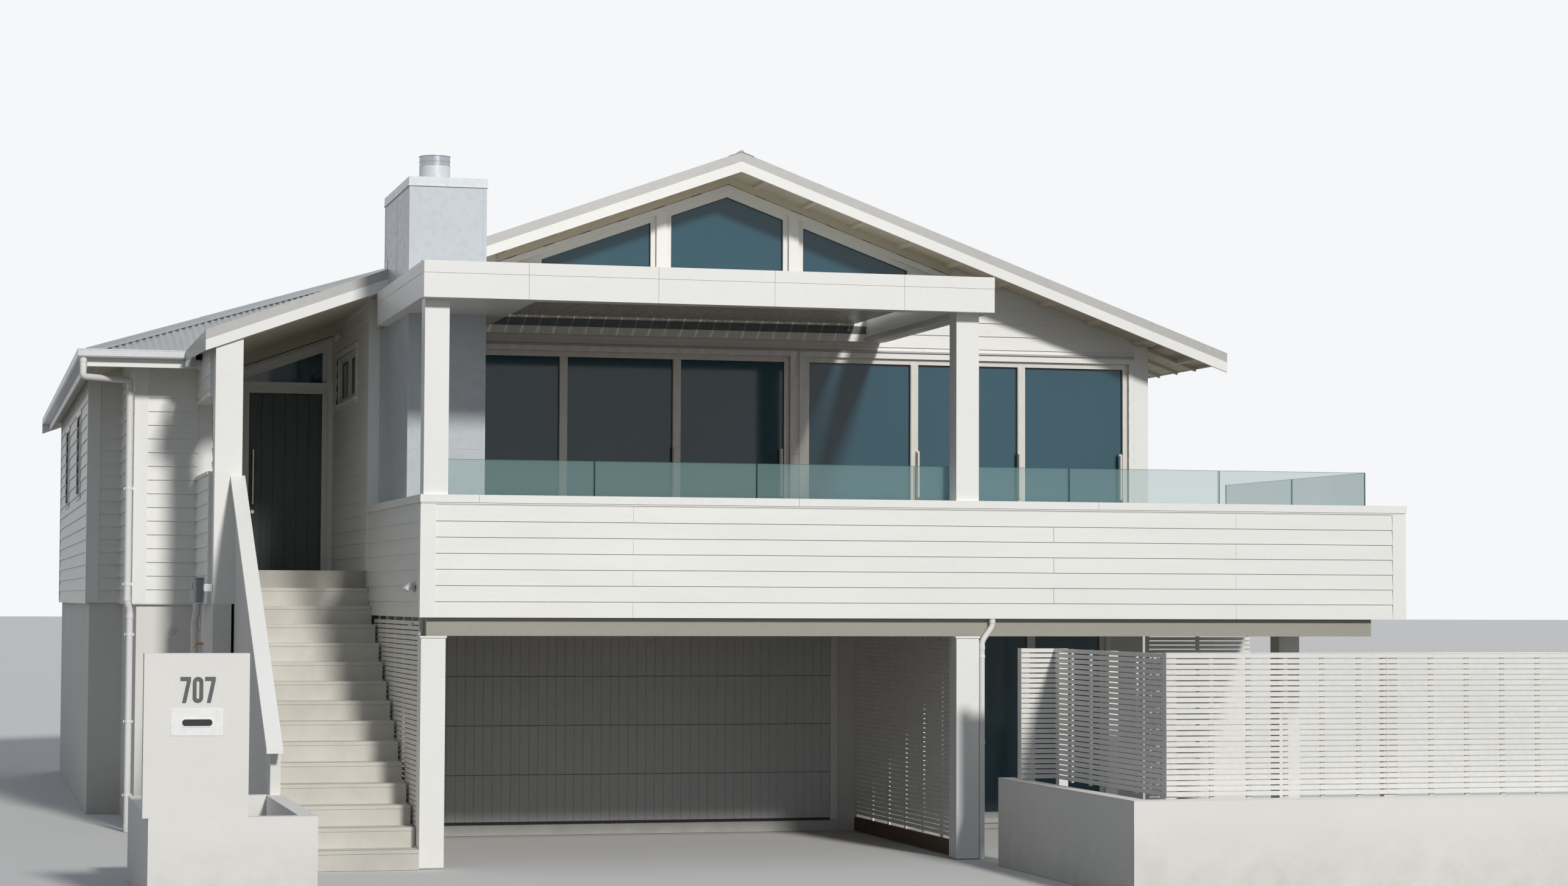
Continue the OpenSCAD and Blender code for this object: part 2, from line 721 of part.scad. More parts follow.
module barge_boards() color("white") {
    for (line = front_lines) difference() {
        run_y(gable_front - barge_t, gable_front, band(line, -barge_drop - barge_h, -barge_drop));
        fireplace_room();
    }
    for (line = back_lines)
        run_y(gable_back, gable_back + barge_t, band(line, -barge_drop - barge_h, -barge_drop));
}

// A flashing that caps a barge board and laps onto the roof
module flashing(line, y0, lap0, lap1) {
    run_y(y0, y0 + barge_t, band(line, -barge_drop, flash_z));
    run_y(lap0, lap1, band(line, fit, flash_z));
}

module barge_flashings() color("darkgray") {
    for (line = front_lines) difference() {
        flashing(line, gable_front - barge_t, gable_front, gable_front + flash_lap);
        fireplace_room();
    }
    for (line = back_lines) flashing(line, gable_back, gable_back - flash_lap, gable_back);
    edge = z_gable(gable_left);
    intersection() {
        linear_extrude(ridge_z) polygon([[gable_left - fit, gable_front - barge_t],
            [gable_left - fit, gable_front], [gutter_end, eave_y - fit],
            [gutter_end, eave_y - barge_t]]);
        run_x(gutter_end, gable_left, [[gable_front - barge_t, edge - barge_drop - barge_h],
            [eave_y, eave_z - gutter_drop - gutter_h/2],
            [eave_y, eave_z + flash_z], [gable_front - barge_t, edge + flash_z]]);
    }
}

// A member under a slope, its top going from height a at x to height c
module member(x, y0, y1, a, c) run_y(y0, y1,
    [[x, a - rafter_h], [x + rafter_w, c - rafter_h], [x + rafter_w, c], [x, a]]);
module outrigger(x, y0, y1)
    member(x, y0, y1, z_gable(x) - roof_low, z_gable(x + rafter_w) - roof_low);

module rafters() color("linen") {
    for (x = [ridge_x + rafter_pitch/2 : rafter_pitch : right_eave - rafter_w]) {
        outrigger(x, gable_front, balcony_d);
        outrigger(x, house_back, gable_back);
    }
    for (x = [ridge_x - rafter_pitch/2 : -rafter_pitch : wall_left])
        if (x > fire_x1 || x + rafter_w < fire_x) outrigger(x, gable_front, balcony_d);
    for (x = [ridge2_x - rafter_pitch/2 : -rafter_pitch : main_eave])
        member(x, house_back, gable_back, z_left(x) - roof_low, z_left(x + rafter_w) - roof_low);
    for (y = [balcony_d : rafter_pitch : house_back - rafter_w]) run_y(y, y + rafter_w,
        band([[house_right, z_gable(house_right) - roof_low],
            [right_eave, z_gable(right_eave) - roof_low]], -rafter_h, 0));
}

// A gutter from corner p to corner q, its top edge at the height z
module trough(p, q, z) difference() {
    block([p[0], p[1], z - gutter_h], [q[0], q[1], z]);
    block([p[0] + gutter_t, p[1] + gutter_t, z - gutter_h + gutter_t],
        [q[0] - gutter_t, q[1] - gutter_t, z + nib]);
}

module gutters() color("lightgray") {
    z = eave_z - gutter_drop;
    trough([eave_x, eave_y], [main_eave - fit, gable_back], z);
    trough([main_eave, eave_y], [gutter_end, front_eave], z);
    trough([right_eave, gable_front], [gable_right, gable_back],
        z_gable(gable_right) - gutter_drop);
}

// A round pipe along a list of points, with a wider bend at each of them
module pipe(points, d) for (i = [0 : len(points) - 2]) {
    way = points[i + 1] - points[i];
    translate(points[i]) rotate([0, acos(way[2]/norm(way)), atan2(way[1], way[0])])
        cylinder(d = d, h = norm(way), $fn = 16);
    if (i > 0) translate(points[i]) sphere(d = d*1.15, $fn = 16);
}

module downpipes() color("white") {
    top = eave_z - gutter_drop - gutter_h;
    x = wing_left - pipe_d;
    y = wing_front - pipe_d/2;
    pipe([[eave_x + gutter_w/2, eave_y + gutter_w/2, top],
        [eave_x + gutter_w/2, eave_y + gutter_w/2, top - pipe_d], [x, y, top - 3*pipe_d],
        [x, y, skirt_z], [x + block_in, y + block_in, skirt_z - pipe_d],
        [x + block_in, y + block_in, 0]], pipe_d);
    side = post_gap + half + pipe_d/2;
    front = -(beam_w + pipe_d)/2;
    pipe([[side + pipe_d*1.5, front, parapet_z], [side + pipe_d*1.5, front, parapet_z - pipe_d],
        [side, front, beam_z - pipe_d/2], [side, front, 0]], pipe_d*0.8);
}

module balcony_posts() color("white") {
    for (x = [0, post_gap]) block([x - half, -half, 0], [x + half, half, beam_z]);
    block([post3_x - half, post3_y - half, 0], [post3_x + half, post3_y + half, beam_z]);
}

module beams() color("whitesmoke") {
    block([-beam_w/2, -beam_w/2, beam_z], [post3_x + half, beam_w/2, parapet_z]);
    for (x = [deck_left + side_t, post_gap - beam_w/2, post3_x - beam_w/2])
        run_x(x, x + beam_w, [[beam_w/2 + fit, beam_z], [balcony_d, beam_z],
            [balcony_d, joist_z], [half, joist_z], [half, parapet_z], [beam_w/2 + fit, parapet_z]]);
}

module joists() color("burlywood") {
    step = (deck_in - joist_w - deck_left - side_t)/(joist_n - 1);
    for (i = [0 : joist_n - 1]) translate([deck_left + side_t + i*step, half, joist_z])
        cube([joist_w, balcony_d - half, joist_h]);
}

module balcony_deck() color("tan")
    block([deck_left + side_t, half, deck_z - deck_t], [deck_in, balcony_d, deck_z]);

// The three sides and the short rear return of the balcony's edge
module balcony_edge(z0, z1, out) {
    block([deck_left - out, -half - out, z0], [deck_right + out, half, z1]);
    block([deck_left - out, half + fit, z0], [deck_left + side_t, balcony_d, z1]);
    block([deck_in, half + fit, z0], [deck_right + out, balcony_d - fit, z1]);
    block([house_right, balcony_d, z0], [deck_right + out, balcony_d + side_t + out, z1]);
}

module parapets() color("white") balcony_edge(parapet_z, rail_z, 0);

module parapet_caps() color("white") balcony_edge(rail_z, parapet_top, cap_out);

module glass_screen() color("powderblue") {
    y = half + glass_gap;
    x0 = deck_left + side_t;
    x1 = deck_in - glass_gap;
    step = (x1 - x0)/pane_n;
    for (i = [0 : pane_n - 1]) translate([x0 + i*step, y, deck_z])
        cube([step - glass_t, glass_t, glass_top - deck_z]);
    length = (balcony_d - y)/2 - glass_t;
    for (y1 = [balcony_d - length, balcony_d - 2*length - glass_t])
        translate([x1 - glass_t, y1, deck_z]) cube([glass_t, length, glass_top - deck_z]);
}

module pergola_posts() color("white")
    for (x = [perg_in - half, post_gap - half])
        block([x, perg_in - half, parapet_top], [x + post_w, half, pergola_z]);

module pergola_frame() color("white") {
    block([pergola_left, pergola_front, pergola_z], [pergola_right, pergola_in, pergola_top]);
    block([pergola_left, pergola_in + fit, pergola_z],
        [fire_x, gable_front - barge_t - nib, pergola_top]);
    block([fire_x + fit, pergola_in + fit, pergola_z], [fire_x1, fire_y, pergola_z + soffit_h]);
    block([fire_x1 + fit, pergola_in + fit, pergola_z],
        [louvre_x0, pergola_back - fit, pergola_top - pergola_cap]);
    block([louvre_x1, pergola_in + fit, pergola_z],
        [pergola_right, pergola_back - fit, pergola_top]);
    block([fire_x1, pergola_back, pergola_z],
        [pergola_right, balcony_d, pergola_top - pergola_cap]);
}

// The section of a louvre blade, with an upstand along one edge
function blade_section() = let (w = blade_w/2, t = blade_t/2)
    [[-w, -t], [w, -t], [w, 3*t], [w - t, 3*t], [w - t, t], [-w, t]];

module louvres() color("gainsboro") for (i = [0 : blade_n - 1])
    translate([louvre_x0 + blade_w/2 + blade_t + i*blade_pitch, pergola_back, pergola_z + louvre_up])
        rotate([90, 0, 0]) linear_extrude(pergola_back - pergola_in)
            rotate(-blade_tilt) polygon(blade_section());

module fireplace() color("lightsteelblue") run_x(fire_x, fire_x1, [[fire_y, deck_z],
    [balcony_d, deck_z], [balcony_d, pergola_z], [fire_back, pergola_z],
    [fire_back, chimney_z - chimney_cap], [fire_y, chimney_z - chimney_cap]]);

module chimney_top() color("silver") {
    block([fire_x - cap_out, fire_y - cap_out, chimney_z - chimney_cap],
        [fire_x1 + cap_out, fire_back + cap_out, chimney_z]);
    translate([fire_x + fire_w/2, fire_y + fire_d/2, chimney_z])
        cylinder(d = flue_d, h = flue_h, $fn = 48);
}

module sliding_door_frames() color("dimgray") frames(sliders);

module gable_window_frames() color("white") for (i = [0 : 2]) difference() {
    run_y(balcony_d + frame_in, balcony_d + frame_in + frame_d, gable_windows(frame_w)[i]);
    run_y(balcony_d, balcony_d + wall_t, gable_windows(0)[i]);
}

module window_frames() color("white") frames(other_windows);

module window_glass() color("lightblue") {
    panes(sliders);
    panes(other_windows);
    for (w = gable_windows(0))
        run_y(balcony_d + frame_in + frame_d/2, balcony_d + frame_in + frame_d/2 + pane_t, w);
    run_y(entry_y + frame_in + frame_d/2, entry_y + frame_in + frame_d/2 + pane_t, transom(0));
}

// Knuckles and plates of the entry door's hinges, standing at z, on the side of x1
module hinge_halves(x1, z) for (i = [0 : hinge_n - 1])
    translate([0, 0, z + i*(door_h - 2*hinge_in - 2*hinge_h)/(hinge_n - 1)]) {
        block([min(x1, hinge_x), hinge_y - hinge_r - 1, 0],
            [max(x1, hinge_x), hinge_y - hinge_r + hinge_r/2, hinge_h]);
        translate([hinge_x, hinge_y, 0]) cylinder(r = hinge_r, h = hinge_h, $fn = 24);
    }

module entry_frame() color("linen") {
    y0 = entry_y + frame_in;
    hinge_halves(hinge_x + hinge_w, floor_z + door_gap + hinge_in);
    block([entry_x, y0, floor_z], [entry_x + frame_w, y0 + frame_d, entry_top - frame_w - fit]);
    block([entry_x + entry_w - frame_w, y0, floor_z],
        [entry_x + entry_w, y0 + frame_d, entry_top - frame_w - fit]);
    block([entry_x, y0, entry_top - frame_w], [entry_x + entry_w, y0 + frame_d, entry_top]);
    difference() {
        run_y(y0, y0 + frame_d, transom(transom_frame));
        run_y(entry_y, entry_y + wall_t, transom(0));
    }
}

module entry_door() color("darkslategray") {
    block([door_x, door_y, floor_z + door_gap],
        [door_x + door_w, door_y + door_t, floor_z + door_gap + door_h]);
    hinge_halves(hinge_x - hinge_w, floor_z + door_gap + hinge_in + hinge_h + fit);
}

module door_pull() color("silver") {
    x = door_x + pull_in;
    z = floor_z + pull_up;
    translate([x, door_y - pull_out, z]) cylinder(d = pull_d, h = pull_l, $fn = 32);
    for (dz = [pull_l/6, pull_l*5/6])
        translate([x, door_y, z + dz]) rotate([90, 0, 0]) cylinder(d = pull_d*0.6, h = pull_out, $fn = 32);
}

module garage_door() color("lightgray") {
    step = garage_h/section_n;
    for (i = [0 : section_n - 1])
        block([garage_x, balcony_d + block_in + frame_in, slab_h + i*step],
            [garage_x + garage_w, balcony_d + block_in + frame_in + garage_t,
                slab_h + (i + 1)*step - (i < section_n - 1 ? section_gap : 0)]);
}

module porch_floor() color("silver") {
    block([porch_left, stair_top, skirt_z], [wall_left, entry_y, floor_z]);
    block([porch_left, porch_front + column_w, skirt_z], [stair_left, stair_top - fit, floor_z]);
}

module porch_column() color("white") run_y(porch_front, porch_front + column_w,
    [[column_x, skirt_z], [column_x + column_w, skirt_z],
        [column_x + column_w, z_gable(column_x + column_w) - roof_low],
        [column_x, z_gable(column_x) - roof_low]]);

module porch_side() color("whitesmoke") {
    block([wing_right, porch_front + column_w, skirt_z],
        [porch_left, wing_front, floor_z + porch_rail]);
    run_y(porch_front + column_w, wing_front, [[wing_right, floor_z + porch_beam],
        [porch_left, floor_z + porch_beam], [porch_left, z_gable(porch_left) - roof_low],
        [wing_right, z_gable(wing_right) - roof_low]]);
}

module porch_ceiling() color("linen") difference() {
    run_y(gable_front, entry_y, band([[porch_left, z_gable(porch_left)],
        [wall_left, z_gable(wall_left)]], -ceiling_drop, ceiling_t - ceiling_drop));
    block([column_x, porch_front, floor_z], [column_x + column_w, porch_front + column_w, ridge_z]);
}

module stair() color("silver") {
    steps = [for (i = [0 : riser_n - 2], k = [0, 1]) [stair_y + i*going, (i + k)*riser_h]];
    top = (riser_n - 1)*riser_h;
    foot = stair_y + waist*going/riser_h;
    run_x(stair_left, stair_right, concat(steps, [[stair_top, top], [stair_top, top - waist],
        [foot, 0]]));
}

function z_nosing(y) = riser_h + (y - stair_y)*riser_h/going;

module stair_wall() color("whitesmoke") {
    top = rail_h - rail_cap_t;
    run_x(stair_left - rail_t, stair_left, [[planter_back, 0], [porch_front, 0],
        [porch_front, z_nosing(porch_front) + top],
        [planter_back - planter_t, z_nosing(planter_back - planter_t) + top],
        [planter_back - planter_t, planter_h], [planter_back, planter_h]]);
}

module stair_wall_cap() color("white") {
    y = planter_back - planter_t - rail_over;
    run_x(stair_left - rail_cap_w, stair_left, band([[y, z_nosing(y) + rail_h],
        [porch_front, z_nosing(porch_front) + rail_h]], -rail_cap_t, 0));
}

// Slats along X that face the front, and the uprights behind them
module slats(length, low, count, top, n) {
    for (i = [0 : count - 1]) translate([0, 0, low + i*slat_pitch]) cube([length, slat_t, slat_h]);
    for (i = [0 : n - 1]) translate([i*(length - batten_w)/(n - 1), slat_t + fit, 0])
        cube([batten_w, batten_t, top]);
}
module screen(length, top, n)
    slats(length, screen_low, floor((top - screen_low)/slat_pitch), top, n);

module left_screen() color("whitesmoke")
    translate([deck_left + slat_t, balcony_d, 0]) rotate([0, 0, -90])
        screen(balcony_d - half, parapet_z, screen_n);

module middle_screen() color("whitesmoke")
    translate([post_gap - (slat_t + batten_t)/2, balcony_d, 0]) rotate([0, 0, -90])
        screen(balcony_d - half, beam_z, screen_n);

module side_screen() color("whitesmoke")
    translate([house_right, balcony_d, 0]) screen(deck_right - house_right, parapet_z, 3);

// Fence slats of a given length, with n posts behind them that stand at z
module fence_panel(length, n, z) {
    for (i = [0 : fence_slats - 1])
        translate([0, 0, fence_z + i*slat_pitch]) cube([length, slat_t, slat_h]);
    for (i = [0 : n - 1]) translate([i*(length - fence_post)/max(n - 1, 1), slat_t + fit, z])
        cube([fence_post, fence_post, fence_top - z]);
}

module fence_front() color("white") translate([fence_left, fence_front_y, 0])
    fence_panel(fence_bays*fence_bay, fence_bays + 1, 0);

module fence_side_panel() color("white") translate([fence_left, fence_rear_y, 0])
    rotate([0, 0, -90]) fence_panel(fence_side - slat_t - fence_post - 2*fit, 3, 0);

module fence_return_panel() color("white")
    translate([fence_left - fence_return, fence_rear_y + fit, 0])
        fence_panel(fence_return, 1, garden_h);

module retaining_walls() color("white") {
    block([garden_left, -garden_y, 0],
        [fence_left + fence_bays*fence_bay, -garden_y + garden_t, garden_h]);
    block([garden_left, -garden_y + garden_t + fit, 0],
        [garden_left + garden_t, -garden_y + garden_d, garden_h]);
}

module letterbox_wall() color("white") block([letter_x, planter_front, planter_h + fit],
    [letter_x + letter_w, planter_front + planter_t, letter_h]);

module planter() color("white") {
    for (y = [planter_front, planter_back - planter_t])
        block([planter_left, y, 0], [planter_right, y + planter_t, planter_h]);
    for (x = [planter_left, planter_right - planter_t])
        block([x, planter_front + planter_t + fit, 0],
            [x + planter_t, planter_back - planter_t - fit, planter_h]);
}

garage_floor();
upper_floor();
lower_side_walls();
lower_end_walls();
front_wall();
right_wall();
rear_wall();
left_walls();
porch_walls();
entry_wall();
roof_right();
roof_gable_left();
roof_rear_left();
roof_hip();
barge_boards();
barge_flashings();
rafters();
gutters();
downpipes();
balcony_posts();
beams();
joists();
balcony_deck();
parapets();
parapet_caps();
glass_screen();
pergola_posts();
pergola_frame();
louvres();
fireplace();
chimney_top();
sliding_door_frames();
gable_window_frames();
window_frames();
window_glass();
entry_frame();
entry_door();
door_pull();
garage_door();
porch_floor();
porch_column();
porch_side();
porch_ceiling();
stair();
stair_wall();
stair_wall_cap();
left_screen();
middle_screen();
side_screen();
fence_front();
fence_side_panel();
fence_return_panel();
retaining_walls();
letterbox_wall();
planter();
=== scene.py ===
import json
import math

import bmesh
import bpy
from mathutils import Matrix, Vector


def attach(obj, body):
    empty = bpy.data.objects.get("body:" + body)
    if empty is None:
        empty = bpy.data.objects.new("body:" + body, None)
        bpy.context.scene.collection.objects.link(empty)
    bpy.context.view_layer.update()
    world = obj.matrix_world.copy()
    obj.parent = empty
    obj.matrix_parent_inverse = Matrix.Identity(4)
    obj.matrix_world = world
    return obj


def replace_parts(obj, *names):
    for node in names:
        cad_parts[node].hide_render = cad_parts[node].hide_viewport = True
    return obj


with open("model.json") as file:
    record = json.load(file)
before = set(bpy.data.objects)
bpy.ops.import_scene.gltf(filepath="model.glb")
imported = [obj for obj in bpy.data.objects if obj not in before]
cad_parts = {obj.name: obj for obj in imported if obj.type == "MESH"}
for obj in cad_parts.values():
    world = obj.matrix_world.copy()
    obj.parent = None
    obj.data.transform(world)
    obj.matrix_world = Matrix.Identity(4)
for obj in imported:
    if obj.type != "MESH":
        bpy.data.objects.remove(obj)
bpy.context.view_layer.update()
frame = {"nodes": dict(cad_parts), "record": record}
scene = bpy.context.scene

# Sizes in millimetres, in the frame of the CAD part
HALF = 117.5
DECK_LEFT, DECK_RIGHT, DECK_IN = -117.5, 10048.5, 9813.5
DECK_Z, SKIRT_Z, FLOOR_Z = 2830, 2490, 2850
PARAPET_Z, RAIL_Z, CAP_Z = 2375, 3447, 3541
FRONT_Y, BACK_Y, RIGHT_X, LEFT_X = 3880, 17880, 8775, -117.5
PORCH_LEFT, WING_RIGHT, WING_LEFT, REAR_LEFT = -1681.5, -1831.5, -2501.5, -2883.5
PORCH_Y, WING_Y, ENTRY_Y, SETBACK_Y = 3566, 5272, 7222, 8265
DECK_BACK = 3975
# Left, right, front, back and top of the fireplace stack
FX0, FX1, FY0, FY1, FZ = -17, 769, 1670, 3533, 6723
RIDGE_X, RIDGE_Z = 3832, 7390
EAVE_X, EAVE_Y = -3161.5, 4612
MAIN_EAVE, FRONT_EAVE, GUTTER_END = -3041.5, 4732, -2022.5
GABLE_LEFT, GABLE_RIGHT, GABLE_FRONT, GABLE_BACK, RIGHT_EAVE = -1912.5, 9515, 3283, 18477, 9395
TP = math.tan(math.radians(20))
EAVE_Z = RIDGE_Z - TP*(RIDGE_X - GABLE_LEFT) - 130
RIDGE2_X = (RIDGE_Z - EAVE_Z + TP*(RIDGE_X + EAVE_X))/(2*TP)
RIDGE2_Z = EAVE_Z + TP*(RIDGE2_X - EAVE_X)
ROOF_T = 120
SLANT = math.cos(math.radians(20))


def z_gable(x):
    return RIDGE_Z - TP*abs(x - RIDGE_X)


def z_right(x):
    return RIDGE_Z - TP*(x - RIDGE_X)


def z_left(x):
    return EAVE_Z + TP*(x - EAVE_X)


def z_hip(y):
    return EAVE_Z + TP*(y - EAVE_Y)


def y_hip(x):
    return x - EAVE_X + EAVE_Y


def y_valley(x):
    return EAVE_Y + (z_gable(x) - EAVE_Z)/TP


# Materials
def linear(c):
    """A colour as seen on a screen, in the shader's linear values"""
    return tuple(v/12.92 if v <= 0.04045 else ((v + 0.055)/1.055)**2.4 for v in c)


def node(tree, kind, operation=None, **values):
    """A new shader node, with the values of its inputs"""
    new = tree.nodes.new("ShaderNode" + kind)
    if operation:
        new.operation = operation
    for key, value in values.items():
        new.inputs[key.replace("_", " ")].default_value = value
    return new


def combine(tree, operation, a, b):
    new = node(tree, "Math", operation)
    tree.links.new(a, new.inputs[0])
    tree.links.new(b, new.inputs[1])
    return new.outputs[0]


def mix(tree, factor):
    new = node(tree, "Mix")
    new.data_type = "RGBA"
    tree.links.new(factor, new.inputs["Factor"])
    return new


PAINTS = {}


def paint(name, colour, rough, metal=0.0, vary=0.05, patch=0.7, grain=(0, 40), stretch=(1, 1, 1), dirt=0.0,
          rough_vary=0.08, bump=(0, 60), **sockets):
    """A finish with patches of tone, a fine grain, uneven gloss and a slight relief, all procedural.

    grain and bump are each an amount with a scale
    """
    m = bpy.data.materials.new(name)
    m.use_nodes = True
    tree = m.node_tree
    link = tree.links.new
    shader = tree.nodes["Principled BSDF"]
    for key, value in {"Metallic": metal, **sockets}.items():
        shader.inputs[key.replace("_", " ")].default_value = value
    place = node(tree, "TexCoord").outputs["Object"]
    mapping = node(tree, "Mapping", Scale=stretch)
    link(place, mapping.inputs["Vector"])

    def noise(scale, detail):
        n = node(tree, "TexNoise", Scale=scale, Detail=detail)
        link(mapping.outputs["Vector"], n.inputs["Vector"])
        return n.outputs["Fac"]

    def spread(value, low, high, start=0.3, end=0.7):
        r = node(tree, "MapRange", From_Min=start, From_Max=end, To_Min=low, To_Max=high)
        link(value, r.inputs["Value"])
        return r.outputs["Result"]

    tone = spread(noise(patch, 4), 1 - vary, 1 + vary*0.4)
    amount, scale = grain
    if amount:
        tone = combine(tree, "MULTIPLY", tone, spread(noise(scale, 3), 1 - amount, 1 + amount*0.4))
    tint = node(tree, "VectorMath", "SCALE")
    tint.inputs[0].default_value = linear(colour)
    link(tone, tint.inputs["Scale"])
    result = tint.outputs[0]
    if dirt:
        # Splashes near the ground, fading out at a height of 0.7 m
        parts = node(tree, "SeparateXYZ")
        link(place, parts.inputs[0])
        near_ground = spread(parts.outputs["Z"], dirt, 0.0, 0.0, 0.7)
        stained = mix(tree, combine(tree, "MULTIPLY", near_ground, spread(noise(5.0, 5), 0.3, 1.0)))
        link(result, stained.inputs["A"])
        stained.inputs["B"].default_value = (*linear((0.50, 0.46, 0.40)), 1)
        result = stained.outputs["Result"]
    link(result, shader.inputs["Base Color"])
    link(spread(noise(scale*0.4, 3), max(rough - rough_vary, 0.02), rough + rough_vary),
         shader.inputs["Roughness"])
    if bump[0]:
        relief = node(tree, "Bump", Strength=1.0, Distance=bump[0])
        link(noise(bump[1], 4), relief.inputs["Height"])
        link(relief.outputs["Normal"], shader.inputs["Normal"])
    PAINTS[name] = m


paint("board_paint", (0.90, 0.90, 0.885), 0.45, vary=0.04, grain=(0.03, 25), stretch=(1, 1, 6),
      bump=(0.0006, 18))
paint("trim_paint", (0.925, 0.925, 0.912), 0.40, vary=0.03, grain=(0.02, 40), bump=(0.0003, 60))
paint("plaster", (0.875, 0.87, 0.85), 0.75, grain=(0.03, 120), dirt=0.28, bump=(0.0012, 90))
paint("garden_plaster", (0.90, 0.895, 0.88), 0.72, grain=(0.03, 120), dirt=0.25, bump=(0.0012, 80))
paint("concrete", (0.70, 0.685, 0.655), 0.8, vary=0.10, grain=(0.10, 160), patch=1.3, bump=(0.0015, 110))
paint("step_concrete", (0.80, 0.79, 0.755), 0.78, vary=0.12, grain=(0.08, 140), patch=2.2, bump=(0.0012, 120))
paint("floor_timber", (0.52, 0.42, 0.33), 0.5, vary=0.15, grain=(0.2, 12), stretch=(1, 14, 1),
      bump=(0.0008, 16))
paint("roof_metal", (0.62, 0.64, 0.65), 0.38, metal=0.2, vary=0.06, grain=(0.04, 30), rough_vary=0.06)
# cream paint, warmed further as painted light: the warm glow bounced up from the ground into the soffits
paint("eave_cream_bounce_warmed", (0.83, 0.80, 0.72), 0.55, grain=(0.04, 20), bump=(0.0006, 25))
paint("joist_timber", (0.70, 0.60, 0.46), 0.7, vary=0.14, grain=(0.16, 12), stretch=(12, 1, 12),
      bump=(0.001, 16))
paint("sheet_metal", (0.73, 0.755, 0.775), 0.38, metal=0.1, vary=0.03, patch=1.2)
paint("cap_metal", (0.83, 0.85, 0.86), 0.34, metal=0.1, vary=0.03, patch=1.2)
paint("flue_metal", (0.70, 0.72, 0.74), 0.30, metal=0.8, vary=0.16, patch=7, grain=(0.05, 40),
      stretch=(1, 1, 0.4))
paint("door_paint", (0.235, 0.275, 0.265), 0.42, vary=0.06, grain=(0.05, 18), stretch=(8, 8, 1),
      bump=(0.0005, 22))
paint("steel", (0.78, 0.78, 0.77), 0.24, metal=1.0, vary=0.04, grain=(0.06, 60), stretch=(1, 1, 12))
paint("garage_paint", (0.80, 0.805, 0.80), 0.42, vary=0.03, grain=(0.02, 40), bump=(0.0003, 60))
paint("slat_paint", (0.90, 0.895, 0.875), 0.5, grain=(0.05, 22), bump=(0.0005, 25))
paint("brass", (0.72, 0.58, 0.33), 0.35, metal=0.9, vary=0.1, patch=20, grain=(0.08, 40))
paint("base_timber", (0.33, 0.26, 0.20), 0.7, vary=0.15, grain=(0.2, 12), stretch=(12, 1, 12),
      bump=(0.001, 16))
paint("screen_glass", (0.52, 0.66, 0.66), 0.05, vary=0.03, rough_vary=0.02, Alpha=0.26,
      Specular_IOR_Level=0.6)
paint("window_glass", (0.205, 0.355, 0.415), 0.05, vary=0.12, patch=0.5, rough_vary=0.02, Alpha=0.92,
      Specular_IOR_Level=0.5)
paint("glass_edge", (0.16, 0.36, 0.33), 0.15, rough_vary=0.02)
# Plain paints and metals: colour, roughness, metal, variation of tone and grain
for name, colour, rough, metal, vary, grain in (
        ("flashing_metal", (0.70, 0.695, 0.685), 0.4, 0.15, 0.06, 0.03),
        ("gutter_paint", (0.83, 0.84, 0.84), 0.35, 0.1, 0.04, 0.02),
        ("pipe_paint", (0.90, 0.90, 0.89), 0.35, 0, 0.04, 0.02),
        ("louvre_paint", (0.84, 0.83, 0.80), 0.30, 0.1, 0.03, 0.02),
        ("slider_paint", (0.85, 0.84, 0.81), 0.36, 0.1, 0.03, 0.02),
        ("frame_paint", (0.91, 0.905, 0.885), 0.36, 0, 0.03, 0.02),
        # cream ceiling paint, warmed further as painted light: the warm glow bounced up from the ground
        ("ceiling_paint", (0.84, 0.81, 0.735), 0.5, 0, 0.04, 0.03),
        ("dark", (0.08, 0.08, 0.085), 0.5, 0, 0.1, 0.05),
        ("grey_plastic", (0.56, 0.58, 0.59), 0.4, 0, 0.05, 0.03),
        ("white_plastic", (0.86, 0.86, 0.85), 0.35, 0, 0.03, 0.02),
        ("lamp_glass", (0.93, 0.92, 0.88), 0.25, 0, 0.02, 0.02),
        # the beams' grey-beige is painted shade: white beams shown as if in the balcony's shadow
        ("beam_paint", (0.62, 0.61, 0.565), 0.5, 0, 0.04, 0.03),
        # near-white plate: the stainless plate's bright reflection of the sun, painted into its colour
        ("plate_metal", (0.945, 0.945, 0.945), 0.3, 0.15, 0.02, 0.02),
        # dark steel paint for the house figures, also used as painted shade in the pergola's rear channel
        ("steel_paint", (0.36, 0.37, 0.38), 0.4, 0.4, 0.05, 0.04)):
    paint(name, colour, rough, metal, vary, grain=(grain, 40))

# Slots and nodes whose paint has another name
FINISHES = {"timber_floor": "floor_timber", "weatherboards": "board_paint", "roof_sheets": "roof_metal",
            "white_boards": "trim_paint", "flashings": "flashing_metal", "eave_timber": "eave_cream_bounce_warmed",
            "gutter_metal": "gutter_paint", "louvre_metal": "louvre_paint",
            "fireplace_sheets": "sheet_metal", "dark_frames": "slider_paint", "light_frames": "frame_paint",
            "door_steel": "steel", "soffit_paint": "ceiling_paint"}
# the beams take the painted-shade finish
NODE_FINISHES = {"stair": "step_concrete", "joists": "joist_timber", "beams": "beam_paint"}
slots = {part["node"]: part["material_slot"] for part in frame["record"]["subparts"]}
for name, solid in frame["nodes"].items():
    for slot in solid.material_slots:
        kind = NODE_FINISHES.get(name, FINISHES.get(slots[name], slots[name]))
        slot.material = PAINTS[kind]


# Geometry
def placed(name, data):
    """A new object in the scene"""
    thing = bpy.data.objects.new(name, data)
    scene.collection.objects.link(thing)
    return thing


